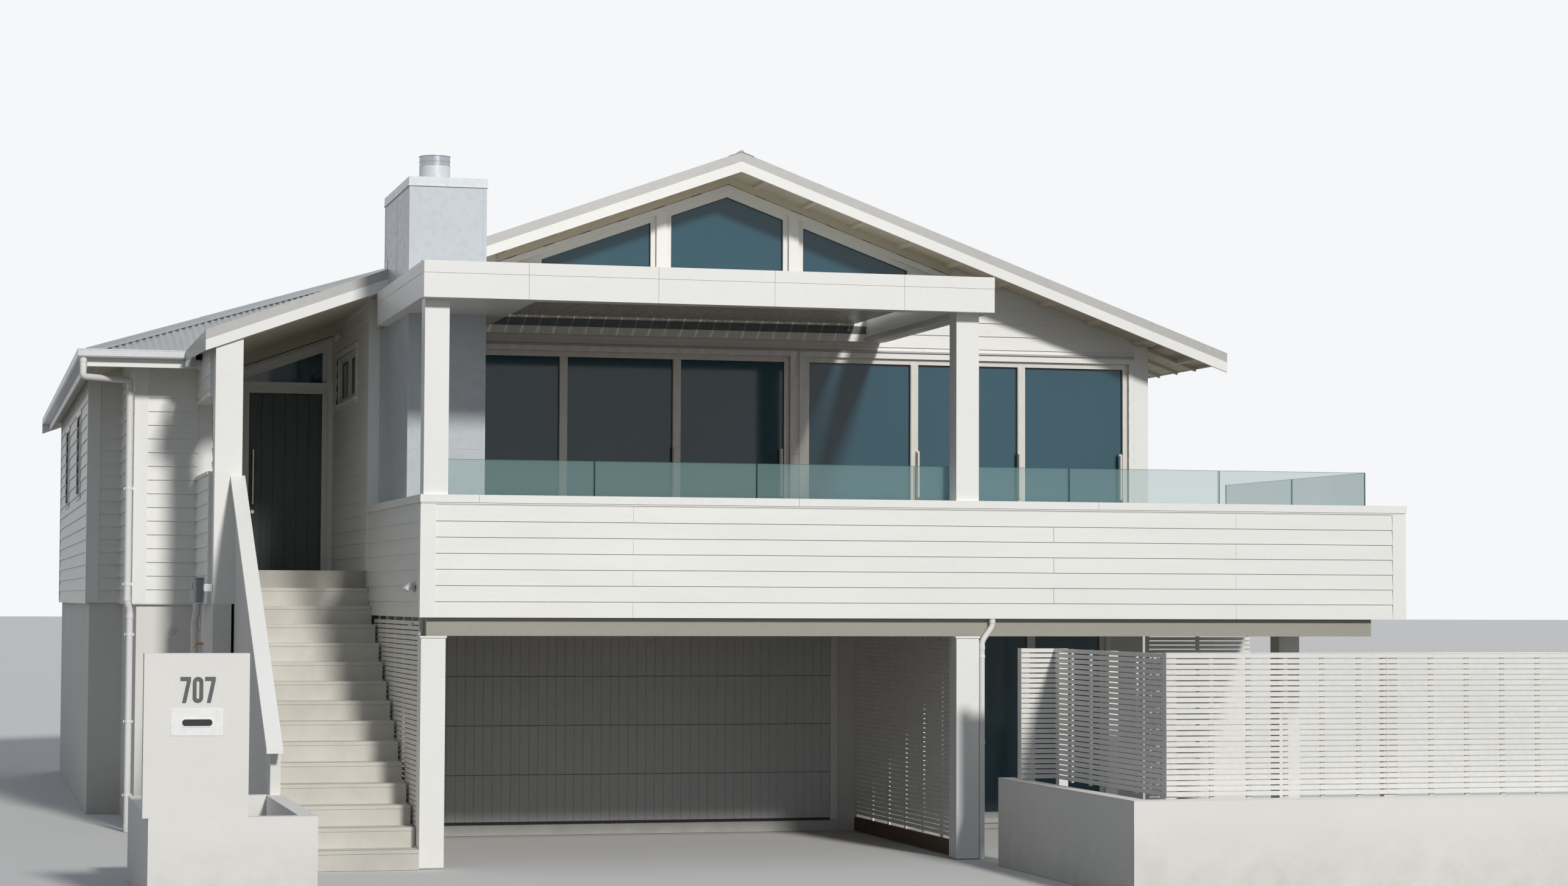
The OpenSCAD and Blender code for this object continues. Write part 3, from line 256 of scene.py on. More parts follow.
class Shape:
    """Closed solids gathered into one mesh, their points given in millimetres"""

    def __init__(self):
        self.points, self.faces, self.marks = [], [], []

    def solid(self, points, faces, mark=0):
        n = len(self.points)
        self.points += [(p[0]/1000, p[1]/1000, p[2]/1000) for p in points]
        self.faces += [tuple(n + i for i in f) for f in faces]
        self.marks += [mark]*len(faces)

    def prism(self, a, b, mark=0):
        n = len(a)
        sides = [(i, (i + 1) % n, n + (i + 1) % n, n + i) for i in range(n)]
        self.solid(list(a) + list(b), [tuple(range(n)), tuple(range(n, 2*n))] + sides, mark)

    def box(self, p, q, mark=0):
        loop = [(p[0], p[1]), (q[0], p[1]), (q[0], q[1]), (p[0], q[1])]
        self.prism([(x, y, p[2]) for x, y in loop], [(x, y, q[2]) for x, y in loop], mark)

    def boxes(self, *rows):
        """Boxes from (x0, y0, z0, x1, y1, z1), each with its mark where it has one"""
        for row in rows:
            self.box(row[:3], row[3:6], *row[6:])

    def along_x(self, section, x0, x1, mark=0):
        """A section of (y, z) points run from x0 to x1"""
        self.prism(*([(x, y, z) for y, z in section] for x in (x0, x1)), mark)

    def along_y(self, section, y0, y1, mark=0):
        """A section of (x, z) points run from y0 to y1"""
        self.prism(*([(x, y, z) for x, z in section] for y in (y0, y1)), mark)

    def slant(self, a, b, section, side, mark=0):
        """A section of (across, up) points run from point a to point b"""
        self.prism(*([(p[0] + side[0]*w, p[1] + side[1]*w, p[2] + h) for w, h in section]
                     for p in (a, b)), mark)

    def under_slope(self, x0, x1, y0, y1, height, low, high, mark=0):
        """What lies between two depths under a roof slope"""
        self.along_y([(x0, height(x0) - low), (x1, height(x1) - low),
                      (x1, height(x1) - high), (x0, height(x0) - high)], y0, y1, mark)

    def tube(self, a, b, d, mark=0, n=20, inner=0.0):
        a, b = Vector(a), Vector(b)
        way = (b - a).normalized()
        u = way.orthogonal().normalized()
        v = way.cross(u)

        def ring(centre, r):
            return [centre + (u*math.cos(t) + v*math.sin(t))*r
                    for t in (2*math.pi*i/n for i in range(n))]
        if not inner:
            self.prism(ring(a, d/2), ring(b, d/2), mark)
            return
        loops = ring(a, d/2) + ring(b, d/2) + ring(b, inner/2) + ring(a, inner/2)
        faces = [(k*n + i, k*n + (i + 1) % n, (k + 1) % 4*n + (i + 1) % n, (k + 1) % 4*n + i)
                 for k in range(4) for i in range(n)]
        self.solid(loops, faces, mark)

    def done(self, name, *finishes, body="house", bevel=0.0, smooth=False):
        mesh = bpy.data.meshes.new(name)
        mesh.from_pydata(self.points, [], self.faces)
        for finish in finishes:
            mesh.materials.append(PAINTS[finish])
        mesh.polygons.foreach_set("material_index", self.marks)
        shape = bmesh.new()
        shape.from_mesh(mesh)
        bmesh.ops.recalc_face_normals(shape, faces=shape.faces)
        shape.to_mesh(mesh)
        shape.free()
        thing = placed(name, mesh)
        if smooth:
            mesh.polygons.foreach_set("use_smooth", [True]*len(mesh.polygons))
            mesh.set_sharp_from_angle(angle=math.radians(35))
        if bevel:
            edge = thing.modifiers.new("edge", "BEVEL")
            edge.width = bevel/1000
            edge.segments = 2
            edge.limit_method = "ANGLE"
        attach(thing, body)
        return thing


def facing_y(y, sign):
    """Turns (along, up, out) into a point on a wall that faces along Y"""
    return lambda u, z, d: (u, y + sign*d, z)


def facing_x(x, sign):
    return lambda u, z, d: (x + sign*d, u, z)


def strips(loops, low, high):
    """Cuts the region inside the loops, between two heights, into four-sided parts"""
    levels = sorted({low, high, *(p[1] for loop in loops for p in loop if low < p[1] < high)})
    for z0, z1 in zip(levels, levels[1:]):
        if z1 - z0 < 0.5:
            continue
        mid = (z0 + z1)/2
        crossings = []
        for loop in loops:
            for (u0, v0), (u1, v1) in zip(loop, loop[1:] + loop[:1]):
                if (v0 < mid) != (v1 < mid):
                    slope = (u1 - u0)/(v1 - v0)
                    crossings.append((u0 + slope*(mid - v0), u0 + slope*(z0 - v0), u0 + slope*(z1 - v0)))
        crossings.sort()
        for a, b in zip(crossings[::2], crossings[1::2]):
            yield z0, z1, a[1], b[1], a[2], b[2]


def boards(shape, to3d, loops, low, high, pitch=150.5, foot=18, head=4, joints=()):
    """Lapped boards over a region, each thick at its foot and thin at its head"""
    for k in range(math.ceil((high - low)/pitch)):
        z0 = low + k*pitch
        z1 = min(z0 + pitch, high)

        def thick(z):
            return foot + (head - foot)*(z - z0)/pitch
        for za, zb, a0, b0, a1, b1 in strips(loops, z0, z1):
            cuts = [u + (k % 2)*offset for u, offset in joints]
            cuts = sorted(u for u in cuts if max(a0, a1) + 60 < u < min(b0, b1) - 60)
            lefts = [(a0, a1)] + [(u + 1.2, u + 1.2) for u in cuts]
            rights = [(u - 1.2, u - 1.2) for u in cuts] + [(b0, b1)]
            for left, right in zip(lefts, rights):
                shape.prism(*([to3d(p, z, 0), to3d(q, z, 0), to3d(q, z, thick(z)), to3d(p, z, thick(z))]
                              for p, q, z in zip(left, right, (za, zb))))


def rect(u0, z0, u1, z1):
    return [(u0, z0), (u1, z0), (u1, z1), (u0, z1)]


def ring(shape, to3d, outer, inner, out, back=0, mark=0):
    """A flat frame between two loops of equally many corners"""
    n = len(outer)
    for i in range(n):
        j = (i + 1) % n
        corners = [outer[i], outer[j], inner[j], inner[i]]
        shape.prism([to3d(u, z, back) for u, z in corners], [to3d(u, z, out) for u, z in corners], mark)


def grow(u0, z0, u1, z1, m):
    return rect(u0 - m, z0 - m, u1 + m, z1 + m)


# The openings in the boarded walls
SLIDERS = [(712, 2850, 4552, 5260), (4720, 2850, 8560, 5260)]
RIGHT_WINDOWS = [(y, 3850, y + 1800, 4950) for y in (6400, 10400, 14400)]
REAR_WINDOWS = [(x - 1800, 3850, x, 4950) for x in (7400, 3900, 400)]
LEFT_WINDOWS = [(y - 1200, 3850, y, 4850) for y in (11600, 15600)]
PORCH_WINDOW = (4982, 4790, 6832, 5330)


SILL, RAKE = 6200, 370


def rake_z(x, m):
    """The head of the gable windows, with a margin"""
    return z_gable(x) - RAKE + m/SLANT


def gable_windows(m):
    """The three gable windows' outlines, with a margin all round"""
    w, foot, near, tip = 640 + m, SILL - m, 640 + 230 - m, 60
    middle = [(RIDGE_X - w, foot), (RIDGE_X + w, foot), (RIDGE_X + w, rake_z(RIDGE_X + w, m)),
              (RIDGE_X, rake_z(RIDGE_X, m)), (RIDGE_X - w, rake_z(RIDGE_X - w, m))]
    reach = (RIDGE_Z - RAKE + m/SLANT - SILL + m - tip)/TP
    right = [(near, foot), (reach, foot), (reach, rake_z(RIDGE_X + reach, m)),
             (near, rake_z(RIDGE_X + near, m))]
    return [middle, [(RIDGE_X + u, z) for u, z in right], [(RIDGE_X - u, z) for u, z in right]]


# Boarded walls
LOW = ROOF_T + 1
walls = Shape()
front, side = facing_y(FRONT_Y, -1), facing_x(RIGHT_X, 1)
rear, far_left, porch_right = facing_y(BACK_Y, 1), facing_x(REAR_LEFT, -1), facing_x(LEFT_X, -1)
# Openings, their wall and their number of panes
OPENINGS = ((SLIDERS, front, 3), (RIGHT_WINDOWS, side, 2), (REAR_WINDOWS, rear, 2),
            (LEFT_WINDOWS, far_left, 2), ([PORCH_WINDOW], porch_right, 2))
RIGHT_TOP, REAR_TOP, WING_TOP = z_gable(RIGHT_X) - LOW, z_left(REAR_LEFT) - LOW, z_left(WING_LEFT) - LOW
boards(walls, front, [[(LEFT_X, DECK_Z), (RIGHT_X, DECK_Z), (RIGHT_X, RIGHT_TOP),
                       (RIDGE_X, RIDGE_Z - LOW), (LEFT_X, z_gable(LEFT_X) - LOW)],
                      rect(FX0, DECK_Z - 1, FX1, 5428)] + [rect(*s) for s in SLIDERS] + gable_windows(60),
       DECK_Z, RIDGE_Z, joints=[(2300, 1700), (6100, -1500)])
boards(walls, side, [rect(FRONT_Y, SKIRT_Z, BACK_Y, RIGHT_TOP)] + [rect(*w) for w in RIGHT_WINDOWS],
       SKIRT_Z, RIGHT_TOP, joints=[(5200, 2100), (9500, -1300), (13600, 900)])
boards(walls, rear, [[(REAR_LEFT, SKIRT_Z), (RIGHT_X, SKIRT_Z), (RIGHT_X, RIGHT_TOP),
                      (RIDGE2_X, RIDGE2_Z - LOW), (REAR_LEFT, REAR_TOP)]] + [rect(*w) for w in REAR_WINDOWS],
       SKIRT_Z, RIDGE2_Z, joints=[(1200, 1900), (5000, -900)])
boards(walls, far_left, [rect(SETBACK_Y, SKIRT_Z, BACK_Y, REAR_TOP)] + [rect(*w) for w in LEFT_WINDOWS],
       SKIRT_Z, REAR_TOP, joints=[(9800, 2600), (13900, -1000)])
boards(walls, facing_y(SETBACK_Y, -1), [[(REAR_LEFT, SKIRT_Z), (WING_LEFT, SKIRT_Z), (WING_LEFT, WING_TOP),
                                         (REAR_LEFT, REAR_TOP)]], SKIRT_Z, z_left(WING_LEFT))
# The wing's two walls, then the two sides of the porch, each with its top
CEILING = 184
for to3d, u0, u1, low, top, holes in (
        (facing_x(WING_LEFT, -1), WING_Y, SETBACK_Y, SKIRT_Z, WING_TOP, []),
        (facing_y(WING_Y, -1), WING_LEFT, WING_RIGHT, SKIRT_Z, z_hip(WING_Y) - LOW, []),
        (porch_right, FRONT_Y, ENTRY_Y, FLOOR_Z, z_gable(LEFT_X) - CEILING, [rect(*PORCH_WINDOW)]),
        (facing_x(PORCH_LEFT, 1), WING_Y, ENTRY_Y, FLOOR_Z, z_gable(PORCH_LEFT) - CEILING, [])):
    boards(walls, to3d, [rect(u0, low, u1, top)] + holes, low, top)
ENTRY_LEFT, ENTRY_RIGHT, DOOR_HEAD = -1159.5, -189.5, 5012
GLASS_LEFT, GLASS_RIGHT, GLASS_FOOT = -1174.5, -204.5, 5025
z_head = [z_gable(x) - 461 + 45/SLANT for x in (GLASS_LEFT, GLASS_RIGHT)]
transom = [(GLASS_LEFT, GLASS_FOOT), (GLASS_RIGHT, GLASS_FOOT),
           (GLASS_RIGHT, z_head[1]), (GLASS_LEFT, z_head[0])]
entry = facing_y(ENTRY_Y, -1)
boards(walls, entry,
       [[(PORCH_LEFT, FLOOR_Z), (LEFT_X, FLOOR_Z), (LEFT_X, z_gable(LEFT_X) - 316),
         (PORCH_LEFT, z_gable(PORCH_LEFT) - 316)],
        [(ENTRY_LEFT, FLOOR_Z - 1), (ENTRY_RIGHT, FLOOR_Z - 1), (ENTRY_RIGHT, GLASS_FOOT - 1),
         *transom[1:], transom[0], (ENTRY_LEFT, GLASS_FOOT - 1)]],
       FLOOR_Z, z_gable(LEFT_X) - CEILING)
for x, sign, low, depth in ((WING_RIGHT, -1, SKIRT_Z, LOW), (PORCH_LEFT, 1, FLOOR_Z, CEILING)):
    top = z_gable(x) - depth
    boards(walls, facing_x(x, sign), [rect(PORCH_Y, low, WING_Y, 3850), rect(PORCH_Y, 4700, WING_Y, top)],
           low, top)
walls.done("wall_boards", "board_paint")

# Balcony edge: its four outer faces, then the three inner ones
edge = Shape()
cuts = [(1930, 4300), (8188, -1965)]
for to3d, u0, u1, low, joints in (
        (facing_y(-HALF, -1), DECK_LEFT, DECK_RIGHT, PARAPET_Z, cuts),
        (facing_x(DECK_LEFT, -1), -HALF, FRONT_Y, PARAPET_Z, ()),
        (facing_x(DECK_RIGHT, 1), -HALF, DECK_BACK, PARAPET_Z, ()),
        (facing_y(DECK_BACK, 1), RIGHT_X, DECK_RIGHT, PARAPET_Z, ()),
        (facing_y(HALF, 1), -22.5, DECK_IN, DECK_Z, cuts),
        (facing_x(-22.5, 1), HALF, FRONT_Y, DECK_Z, ()),
        (facing_x(DECK_IN, -1), HALF, FRONT_Y, DECK_Z, ())):
    boards(edge, to3d, [rect(u0, low, u1, RAIL_Z)], low, RAIL_Z, (RAIL_Z - PARAPET_Z)/7, 15, 3, joints)
edge.done("parapet_boards", "board_paint")

trim = Shape()


def corner(x, sx, y, sy, z0, z1, w=130, d=120, t=20, shape=trim):
    """Two boards that wrap an outer corner; sx and sy point out of the two faces"""
    for xs, ys in (((x - sx*w, x + sx*t), (y, y + sy*t)), ((x, x + sx*t), (y - sy*d, y))):
        (xa, xb), (ya, yb) = sorted(xs), sorted(ys)
        shape.box((xa, ya, z0), (xb, yb, z1))


for x, sx, y, sy in ((DECK_LEFT, -1, -HALF, -1), (DECK_RIGHT, 1, -HALF, -1), (DECK_RIGHT, 1, DECK_BACK, 1)):
    corner(x, sx, y, sy, PARAPET_Z, RAIL_Z, t=18)
corner(RIGHT_X, 1, FRONT_Y, -1, DECK_Z, RIGHT_TOP, 150, 110)
corner(RIGHT_X, 1, BACK_Y, 1, SKIRT_Z, RIGHT_TOP)
corner(REAR_LEFT, -1, BACK_Y, 1, SKIRT_Z, REAR_TOP)
corner(REAR_LEFT, -1, SETBACK_Y, -1, SKIRT_Z, REAR_TOP)
corner(WING_LEFT, -1, WING_Y, -1, SKIRT_Z, WING_TOP)
corner(LEFT_X, -1, FRONT_Y, -1, FLOOR_Z, z_gable(LEFT_X) - CEILING, 100, 100)
# Trims round the doors and windows of the boarded walls, and their sills
for boxes, to3d, _ in OPENINGS:
    for b in boxes:
        ring(trim, to3d, grow(*b, 62), rect(*b), 24)
        if b[1] > 3000:
            section = [(0, 0), (48, -6), (48, -26), (0, -30)]
            trim.prism(*([to3d(u, b[1] + h, d) for d, h in section] for u in (b[0] - 80, b[2] + 80)))
reach = max(u - RIDGE_X for u, z in gable_windows(58)[1])
sill = SILL - 58


def rake_board(u0, u1, low, high, out, shape=trim, mark=0):
    """A board on the gable, its foot and top given as heights over x"""
    for x0, x1 in ((RIDGE_X - u0, RIDGE_X - u1), (RIDGE_X + u0, RIDGE_X + u1)):
        shape.along_y([(x0, low(x0)), (x1, low(x1)), (x1, high(x1)), (x0, high(x0))],
                      FRONT_Y, FRONT_Y - out, mark)


def rake(m):
    return lambda x: rake_z(x, m)


def drop(d):
    return lambda x: z_gable(x) - d


edge_u = reach + 165
rake_board(0.5, edge_u, rake(58), drop(241), 28)
rake_board(698, 812, lambda x: sill, rake(58), 26)
rake_board(reach, edge_u, lambda x: sill, rake(58), 26)
rake_board(0.5, edge_u, lambda x: sill - 90, lambda x: sill, 27)
rake_board(0.5, reach + 175, lambda x: sill - 2, lambda x: sill + 24, 52)
CASING_LEFT = -1235
ring(trim, entry, rect(CASING_LEFT, FLOOR_Z, -125, 5080),
     rect(ENTRY_LEFT, FLOOR_Z, ENTRY_RIGHT, DOOR_HEAD), 24)
ring(trim, entry, [(CASING_LEFT, DOOR_HEAD), (-140, DOOR_HEAD), (-140, z_head[1] + 85),
                   (CASING_LEFT, z_head[0] + 40)], transom, 22)
# Caps of the porch balustrade and of the frieze's foot
trim.boxes((WING_RIGHT - 26, PORCH_Y, 3850, PORCH_LEFT + 24, WING_Y, 3880),
           (WING_RIGHT - 20, PORCH_Y, 4672, PORCH_LEFT + 20, WING_Y, 4700))
# Skirt boards under the weatherboards
SKIRT_FOOT = SKIRT_Z - 12
trim.boxes((REAR_LEFT - 14, SETBACK_Y, SKIRT_FOOT, REAR_LEFT + 30, BACK_Y, SKIRT_Z),
           (WING_LEFT - 14, WING_Y, SKIRT_FOOT, WING_LEFT + 30, SETBACK_Y, SKIRT_Z),
           (RIGHT_X - 30, FRONT_Y, SKIRT_FOOT, RIGHT_X + 14, BACK_Y, SKIRT_Z),
           (WING_LEFT - 14, WING_Y - 14, SKIRT_FOOT, WING_RIGHT + 14, WING_Y + 30, SKIRT_Z),
           (REAR_LEFT - 14, BACK_Y - 30, SKIRT_FOOT, RIGHT_X + 14, BACK_Y + 14, SKIRT_Z))
trim.done("wall_trims", "trim_paint", bevel=2)

# Friezes under the gable's lining and the porch ceiling, each with a dark strip at its foot that is painted
# shade in the shadow gap there
frieze = Shape()
rake_board(0.5, edge_u, drop(232), drop(LOW), 34, frieze)
# the dark strip: painted shade in the gap under the gable's frieze
rake_board(0.5, edge_u, drop(241), drop(232), 8, frieze, 1)
# the second row is the dark strip, painted shade in the gap under the porch frieze
for d0, d1, out, mark in ((305, CEILING, 26, 0), (314, 305, 6, 1)):
    frieze.under_slope(PORCH_LEFT, LEFT_X, ENTRY_Y, ENTRY_Y - out, z_gable, d0, d1, mark)
frieze.done("friezes", "eave_cream_bounce_warmed", "dark")

# Roof sheets
WAVE, DEPTH, STEPS = 76.2, 16, 6


def sheet(shape, s0, s1, ends, to3d):
    """One closed corrugated sheet over a plan; ends(s) gives where each line starts and stops"""
    n = math.ceil((s1 - s0)/WAVE*STEPS)
    points = []
    for i in range(n + 1):
        s = min(s0 + i*WAVE/STEPS, s1)
        h = 2 + DEPTH*(1 - math.cos(2*math.pi*s/WAVE))/2
        a, b = ends(s)
        points += [to3d(s, a, h), to3d(s, b, h), to3d(s, b, h + 1.5), to3d(s, a, h + 1.5)]
    faces = [(0, 1, 2, 3), (4*n, 4*n + 1, 4*n + 2, 4*n + 3)]
    for i in range(n):
        for k in range(4):
            faces.append((4*i + k, 4*i + (k + 1) % 4, 4*i + 4 + (k + 1) % 4, 4*i + 4 + k))
    shape.solid(points, faces)


def right_ends(y):
    start = RIDGE_X if y < y_valley(RIDGE_X) else max(RIDGE2_X, RIDGE_X - (y - y_valley(RIDGE_X)))
    return start + 8, RIGHT_EAVE + 45


def gable_ends(y):
    start = GABLE_LEFT
    if y > y_valley(GABLE_LEFT):
        start = GABLE_LEFT + (y - y_valley(GABLE_LEFT)) + 70
    return min(start, RIDGE_X - 9), RIDGE_X - 8


def rear_ends(y):
    end = RIDGE2_X if y > y_hip(RIDGE2_X) else y - EAVE_Y + EAVE_X
    return MAIN_EAVE - 45, end - 12


def hip_ends(x):
    start = EAVE_Y + 75 if x < GUTTER_END else EAVE_Y + 2
    if x > GABLE_LEFT:
        start = y_valley(x) + 70
    end = y_hip(x) if x < RIDGE2_X else y_valley(RIDGE_X) + (RIDGE_X - x)
    return start, max(end - 12, start + 1)


LAP = 118
BEHIND_STACK = FY1 + 3
roof = Shape()
for s0, s1, plan, height in (
        (GABLE_FRONT + LAP, GABLE_BACK - LAP, right_ends, z_right),
        (GABLE_FRONT + LAP, BEHIND_STACK, lambda y: (GABLE_LEFT, FX0 - 3), z_gable),
        (GABLE_FRONT + LAP, BEHIND_STACK, lambda y: (FX1 + 3, RIDGE_X - 8), z_gable),
        (BEHIND_STACK, y_valley(RIDGE_X), gable_ends, z_gable),
        (FRONT_EAVE, GABLE_BACK - LAP, rear_ends, z_left)):
    sheet(roof, s0, s1, plan, lambda s, along, h: (along, s, height(along) + h))
sheet(roof, MAIN_EAVE, RIDGE_X, hip_ends, lambda s, along, h: (s, along, z_hip(along) + h))
roof.done("roof_sheets", "roof_metal", smooth=True)

caps = Shape()


def cap_section(slope, wing=125, r=24, up=13):
    """A rolled ridge cap: two wings down the slopes and a round crown between them"""
    arc = [(-r*math.cos(t), up + r*math.sin(t)) for t in (math.radians(a) for a in range(15, 166, 15))]
    return [(-wing, 22 - slope*wing), (-r - 2, 22 - slope*r), *arc, (r + 2, 22 - slope*r),
            (wing, 22 - slope*wing), (wing, 19 - slope*wing), (0, 15), (-wing, 19 - slope*wing)]


DIAGONAL = (-math.sqrt(0.5), math.sqrt(0.5))
HIP = TP*math.sqrt(0.5)
VALLEY_END = (RIDGE_X, y_valley(RIDGE_X), RIDGE_Z)
HIP_END = (RIDGE2_X, y_hip(RIDGE2_X), RIDGE2_Z)
for a, b, section, side_way in (
        ((RIDGE_X, GABLE_FRONT + LAP, RIDGE_Z), VALLEY_END, cap_section(TP), (1, 0)),
        (HIP_END, (RIDGE2_X, GABLE_BACK - LAP, RIDGE2_Z), cap_section(TP), (1, 0)),
        ((MAIN_EAVE - 20, FRONT_EAVE - 20, z_left(MAIN_EAVE - 20)), HIP_END, cap_section(HIP), DIAGONAL),
        (VALLEY_END, HIP_END, cap_section(HIP), (math.sqrt(0.5), math.sqrt(0.5)))):
    length = math.dist(a, b)
    count = max(1, round(length/1800))
    for i in range(count):
        ends = [[a[k] + (b[k] - a[k])*t for k in range(3)] for t in (i/count, (i + 1)/count)]
        caps.slant(ends[0], ends[1], [(w, h + (2.0 if i % 2 else 0)) for w, h in section], side_way)
caps.slant((RIDGE_X, GABLE_FRONT - 44, RIDGE_Z + 28), (RIDGE_X, GABLE_FRONT + LAP + 40, RIDGE_Z + 28),
           cap_section(TP, 140), (1, 0))
caps.slant((GABLE_LEFT, y_valley(GABLE_LEFT), z_gable(GABLE_LEFT)), VALLEY_END,
           [(-100, 100*HIP + 2), (0, 1.5), (100, 100*HIP + 2),
            (100, 100*HIP + 5), (0, 4.5), (-100, 100*HIP + 5)], DIAGONAL)
caps.done("ridge_caps", "roof_metal", smooth=True)

# Eaves
lining = Shape()


def slope_board(x0, x1, y0, y1, height):
    """A lining board under the roof that runs up the slope"""
    lining.under_slope(x0, x1, y0, y1, height, ROOF_T + 8.5, ROOF_T + 0.5)


for i in range(6):
    y0 = GABLE_FRONT + 2 + i*99.5
    for x0, x1 in ((GABLE_LEFT + 4, FX0 - 5), (FX1 + 5, RIDGE_X - 2), (RIDGE_X + 2, RIGHT_EAVE - 4)):
        slope_board(x0, x1, y0, y0 + 95.5, z_gable)
    y0 = BACK_Y + 2 + i*99.5
    slope_board(MAIN_EAVE + 4, RIDGE2_X - 2, y0, y0 + 95.5, z_left)
    slope_board(RIDGE2_X + 2, RIGHT_EAVE - 4, y0, y0 + 95.5, z_right)
    x0 = RIGHT_X + 4 + i*102
    for y0, y1 in ((GABLE_FRONT + 4, 8400), (8404, 13200), (13204, GABLE_BACK - 4)):
        slope_board(x0, x0 + 98, y0, y1, z_right)
    y0 = FRONT_EAVE + 4 + i*89
    z0, z1 = (z_hip(y) - ROOF_T - 0.5 for y in (y0, y0 + 85))
    lining.along_x([(y0, z0 - 8), (y0 + 85, z1 - 8), (y0 + 85, z1), (y0, z0)],
                   MAIN_EAVE + (y0 - FRONT_EAVE), WING_RIGHT)
for i in range(5):
    x0 = MAIN_EAVE + 4 + i*106
    slope_board(x0, x0 + 102, WING_Y if x0 > -2960 else WING_Y - 300,
                GABLE_BACK - 4 if x0 + 102 < REAR_LEFT else SETBACK_Y, z_left)
lining.done("eave_lining", "eave_cream_bounce_warmed")

ceiling_sheets = Shape()
for x0, y0, y1 in ((-1517, GABLE_FRONT, PORCH_Y), (PORCH_LEFT, PORCH_Y + 1, 4800), (PORCH_LEFT, 4802, 6000),
                   (PORCH_LEFT, 6002, ENTRY_Y)):
    ceiling_sheets.under_slope(x0, LEFT_X, y0, y1, z_gable, CEILING, 172)
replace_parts(ceiling_sheets.done("porch_lining", "ceiling_paint"), "porch_ceiling")

ribs = Shape()


def rib(x, y0, y1, height, end=None):
    """An outrigger under a slope, 45 mm wide and deep"""
    ribs.under_slope(x, x + 45 if end is None else end, y0, y1, height, ROOF_T + 45, ROOF_T)


for k in range(10):
    x = RIDGE_X + 280 + 560*k
    if x < RIGHT_EAVE - 45:
        rib(x, GABLE_FRONT, FRONT_Y, z_gable)
        rib(x, BACK_Y, GABLE_BACK, z_gable)
    x = RIDGE_X - 280 - 560*k
    if x > LEFT_X and (x > FX1 or x + 45 < FX0):
        rib(x, GABLE_FRONT, FRONT_Y, z_gable)
    x = RIDGE2_X - 280 - 560*k
    if x > MAIN_EAVE:
        rib(x, BACK_Y, GABLE_BACK, z_left)
for k in range(25):
    y = FRONT_Y + 560*k
    rib(RIGHT_X, y, y + 45, z_gable, RIGHT_EAVE)
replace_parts(ribs.done("outriggers", "eave_cream_bounce_warmed", bevel=2), "rafters")

GUTTER_Z, GUTTER_H, GUTTER_W = EAVE_Z + 54, 92, 120
Z_RIGHT = z_gable(GABLE_RIGHT) + 54
gutter = Shape()


def trough(a, b, out, z):
    """A gutter from a to b with a rolled front edge; out is the way from its back to its front"""
    section = [(0, 0), (0, -GUTTER_H), (104, -GUTTER_H), (118, -GUTTER_H + 16), (118, -14), (GUTTER_W, -12),
               (GUTTER_W, 0), (108, 0), (108, -5), (114, -7), (114, -GUTTER_H + 18), (102, -GUTTER_H + 4),
               (4, -GUTTER_H + 4), (4, 0)]
    ends = [[(p[0] + out[0]*w, p[1] + out[1]*w, z + h) for w, h in section] for p in (a, b)]
    # The left eave's two gutters meet in a mitre
    if out == (0, -1):
        ends[0] = [(x - (FRONT_EAVE - y), y, h) for x, y, h in ends[0]]
    elif out == (-1, 0):
        ends[0] = [(x, y - (MAIN_EAVE - x), h) for x, y, h in ends[0]]
    gutter.prism(*ends)


trough((MAIN_EAVE, FRONT_EAVE), (GUTTER_END, FRONT_EAVE), (0, -1), GUTTER_Z)
trough((MAIN_EAVE, FRONT_EAVE), (MAIN_EAVE, GABLE_BACK), (-1, 0), GUTTER_Z)
trough((RIGHT_EAVE, GABLE_FRONT), (RIGHT_EAVE, GABLE_BACK), (1, 0), Z_RIGHT)
# Stop ends, then straps
for x0, y0, x1, y1, z in (
        (GUTTER_END - 3, EAVE_Y + 1, GUTTER_END, FRONT_EAVE, GUTTER_Z),
        (EAVE_X + 1, GABLE_BACK - 3, MAIN_EAVE, GABLE_BACK, GUTTER_Z),
        (RIGHT_EAVE, GABLE_BACK - 3, GABLE_RIGHT - 1, GABLE_BACK, Z_RIGHT),
        (RIGHT_EAVE, GABLE_FRONT, GABLE_RIGHT - 1, GABLE_FRONT + 3, Z_RIGHT)):
    gutter.box((x0, y0, z - GUTTER_H), (x1, y1, z))
for i in range(15):
    y = 5200 + i*920
    gutter.boxes((EAVE_X + 2, y, GUTTER_Z - 6, MAIN_EAVE - 2, y + 22, GUTTER_Z - 2),
                 (RIGHT_EAVE + 2, y - 1500, Z_RIGHT - 6, GABLE_RIGHT - 2, y - 1478, Z_RIGHT - 2))
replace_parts(gutter.done("eave_gutters", "gutter_paint", bevel=1), "gutters")

fascia = Shape()
for x0, y0, x1, y1, head, depth in (
        (MAIN_EAVE - 18, FRONT_EAVE - 18, WING_RIGHT, FRONT_EAVE - 0.5, GUTTER_Z - GUTTER_H, 92),
        (MAIN_EAVE - 18, FRONT_EAVE - 0.5, MAIN_EAVE - 0.5, GABLE_BACK, GUTTER_Z - GUTTER_H, 92),
        (RIGHT_EAVE + 0.5, GABLE_FRONT, RIGHT_EAVE + 18, GABLE_BACK, Z_RIGHT - GUTTER_H, 60)):
    fascia.box((x0, y0, head - depth), (x1, y1, head))
fascia.done("fascias", "trim_paint", bevel=2)

# Pipes: (x, y) of the left one's upper and lower run, of the carport's pipe and of the waste pipe
UPPER, LOWER, CARPORT, WASTE = (-2573.5, 5236), (-2543.5, 5266), (5481.5, -96), (-1862, 4990)
PIPE_D, CARPORT_D = 72, 57.6
pipes = Shape()


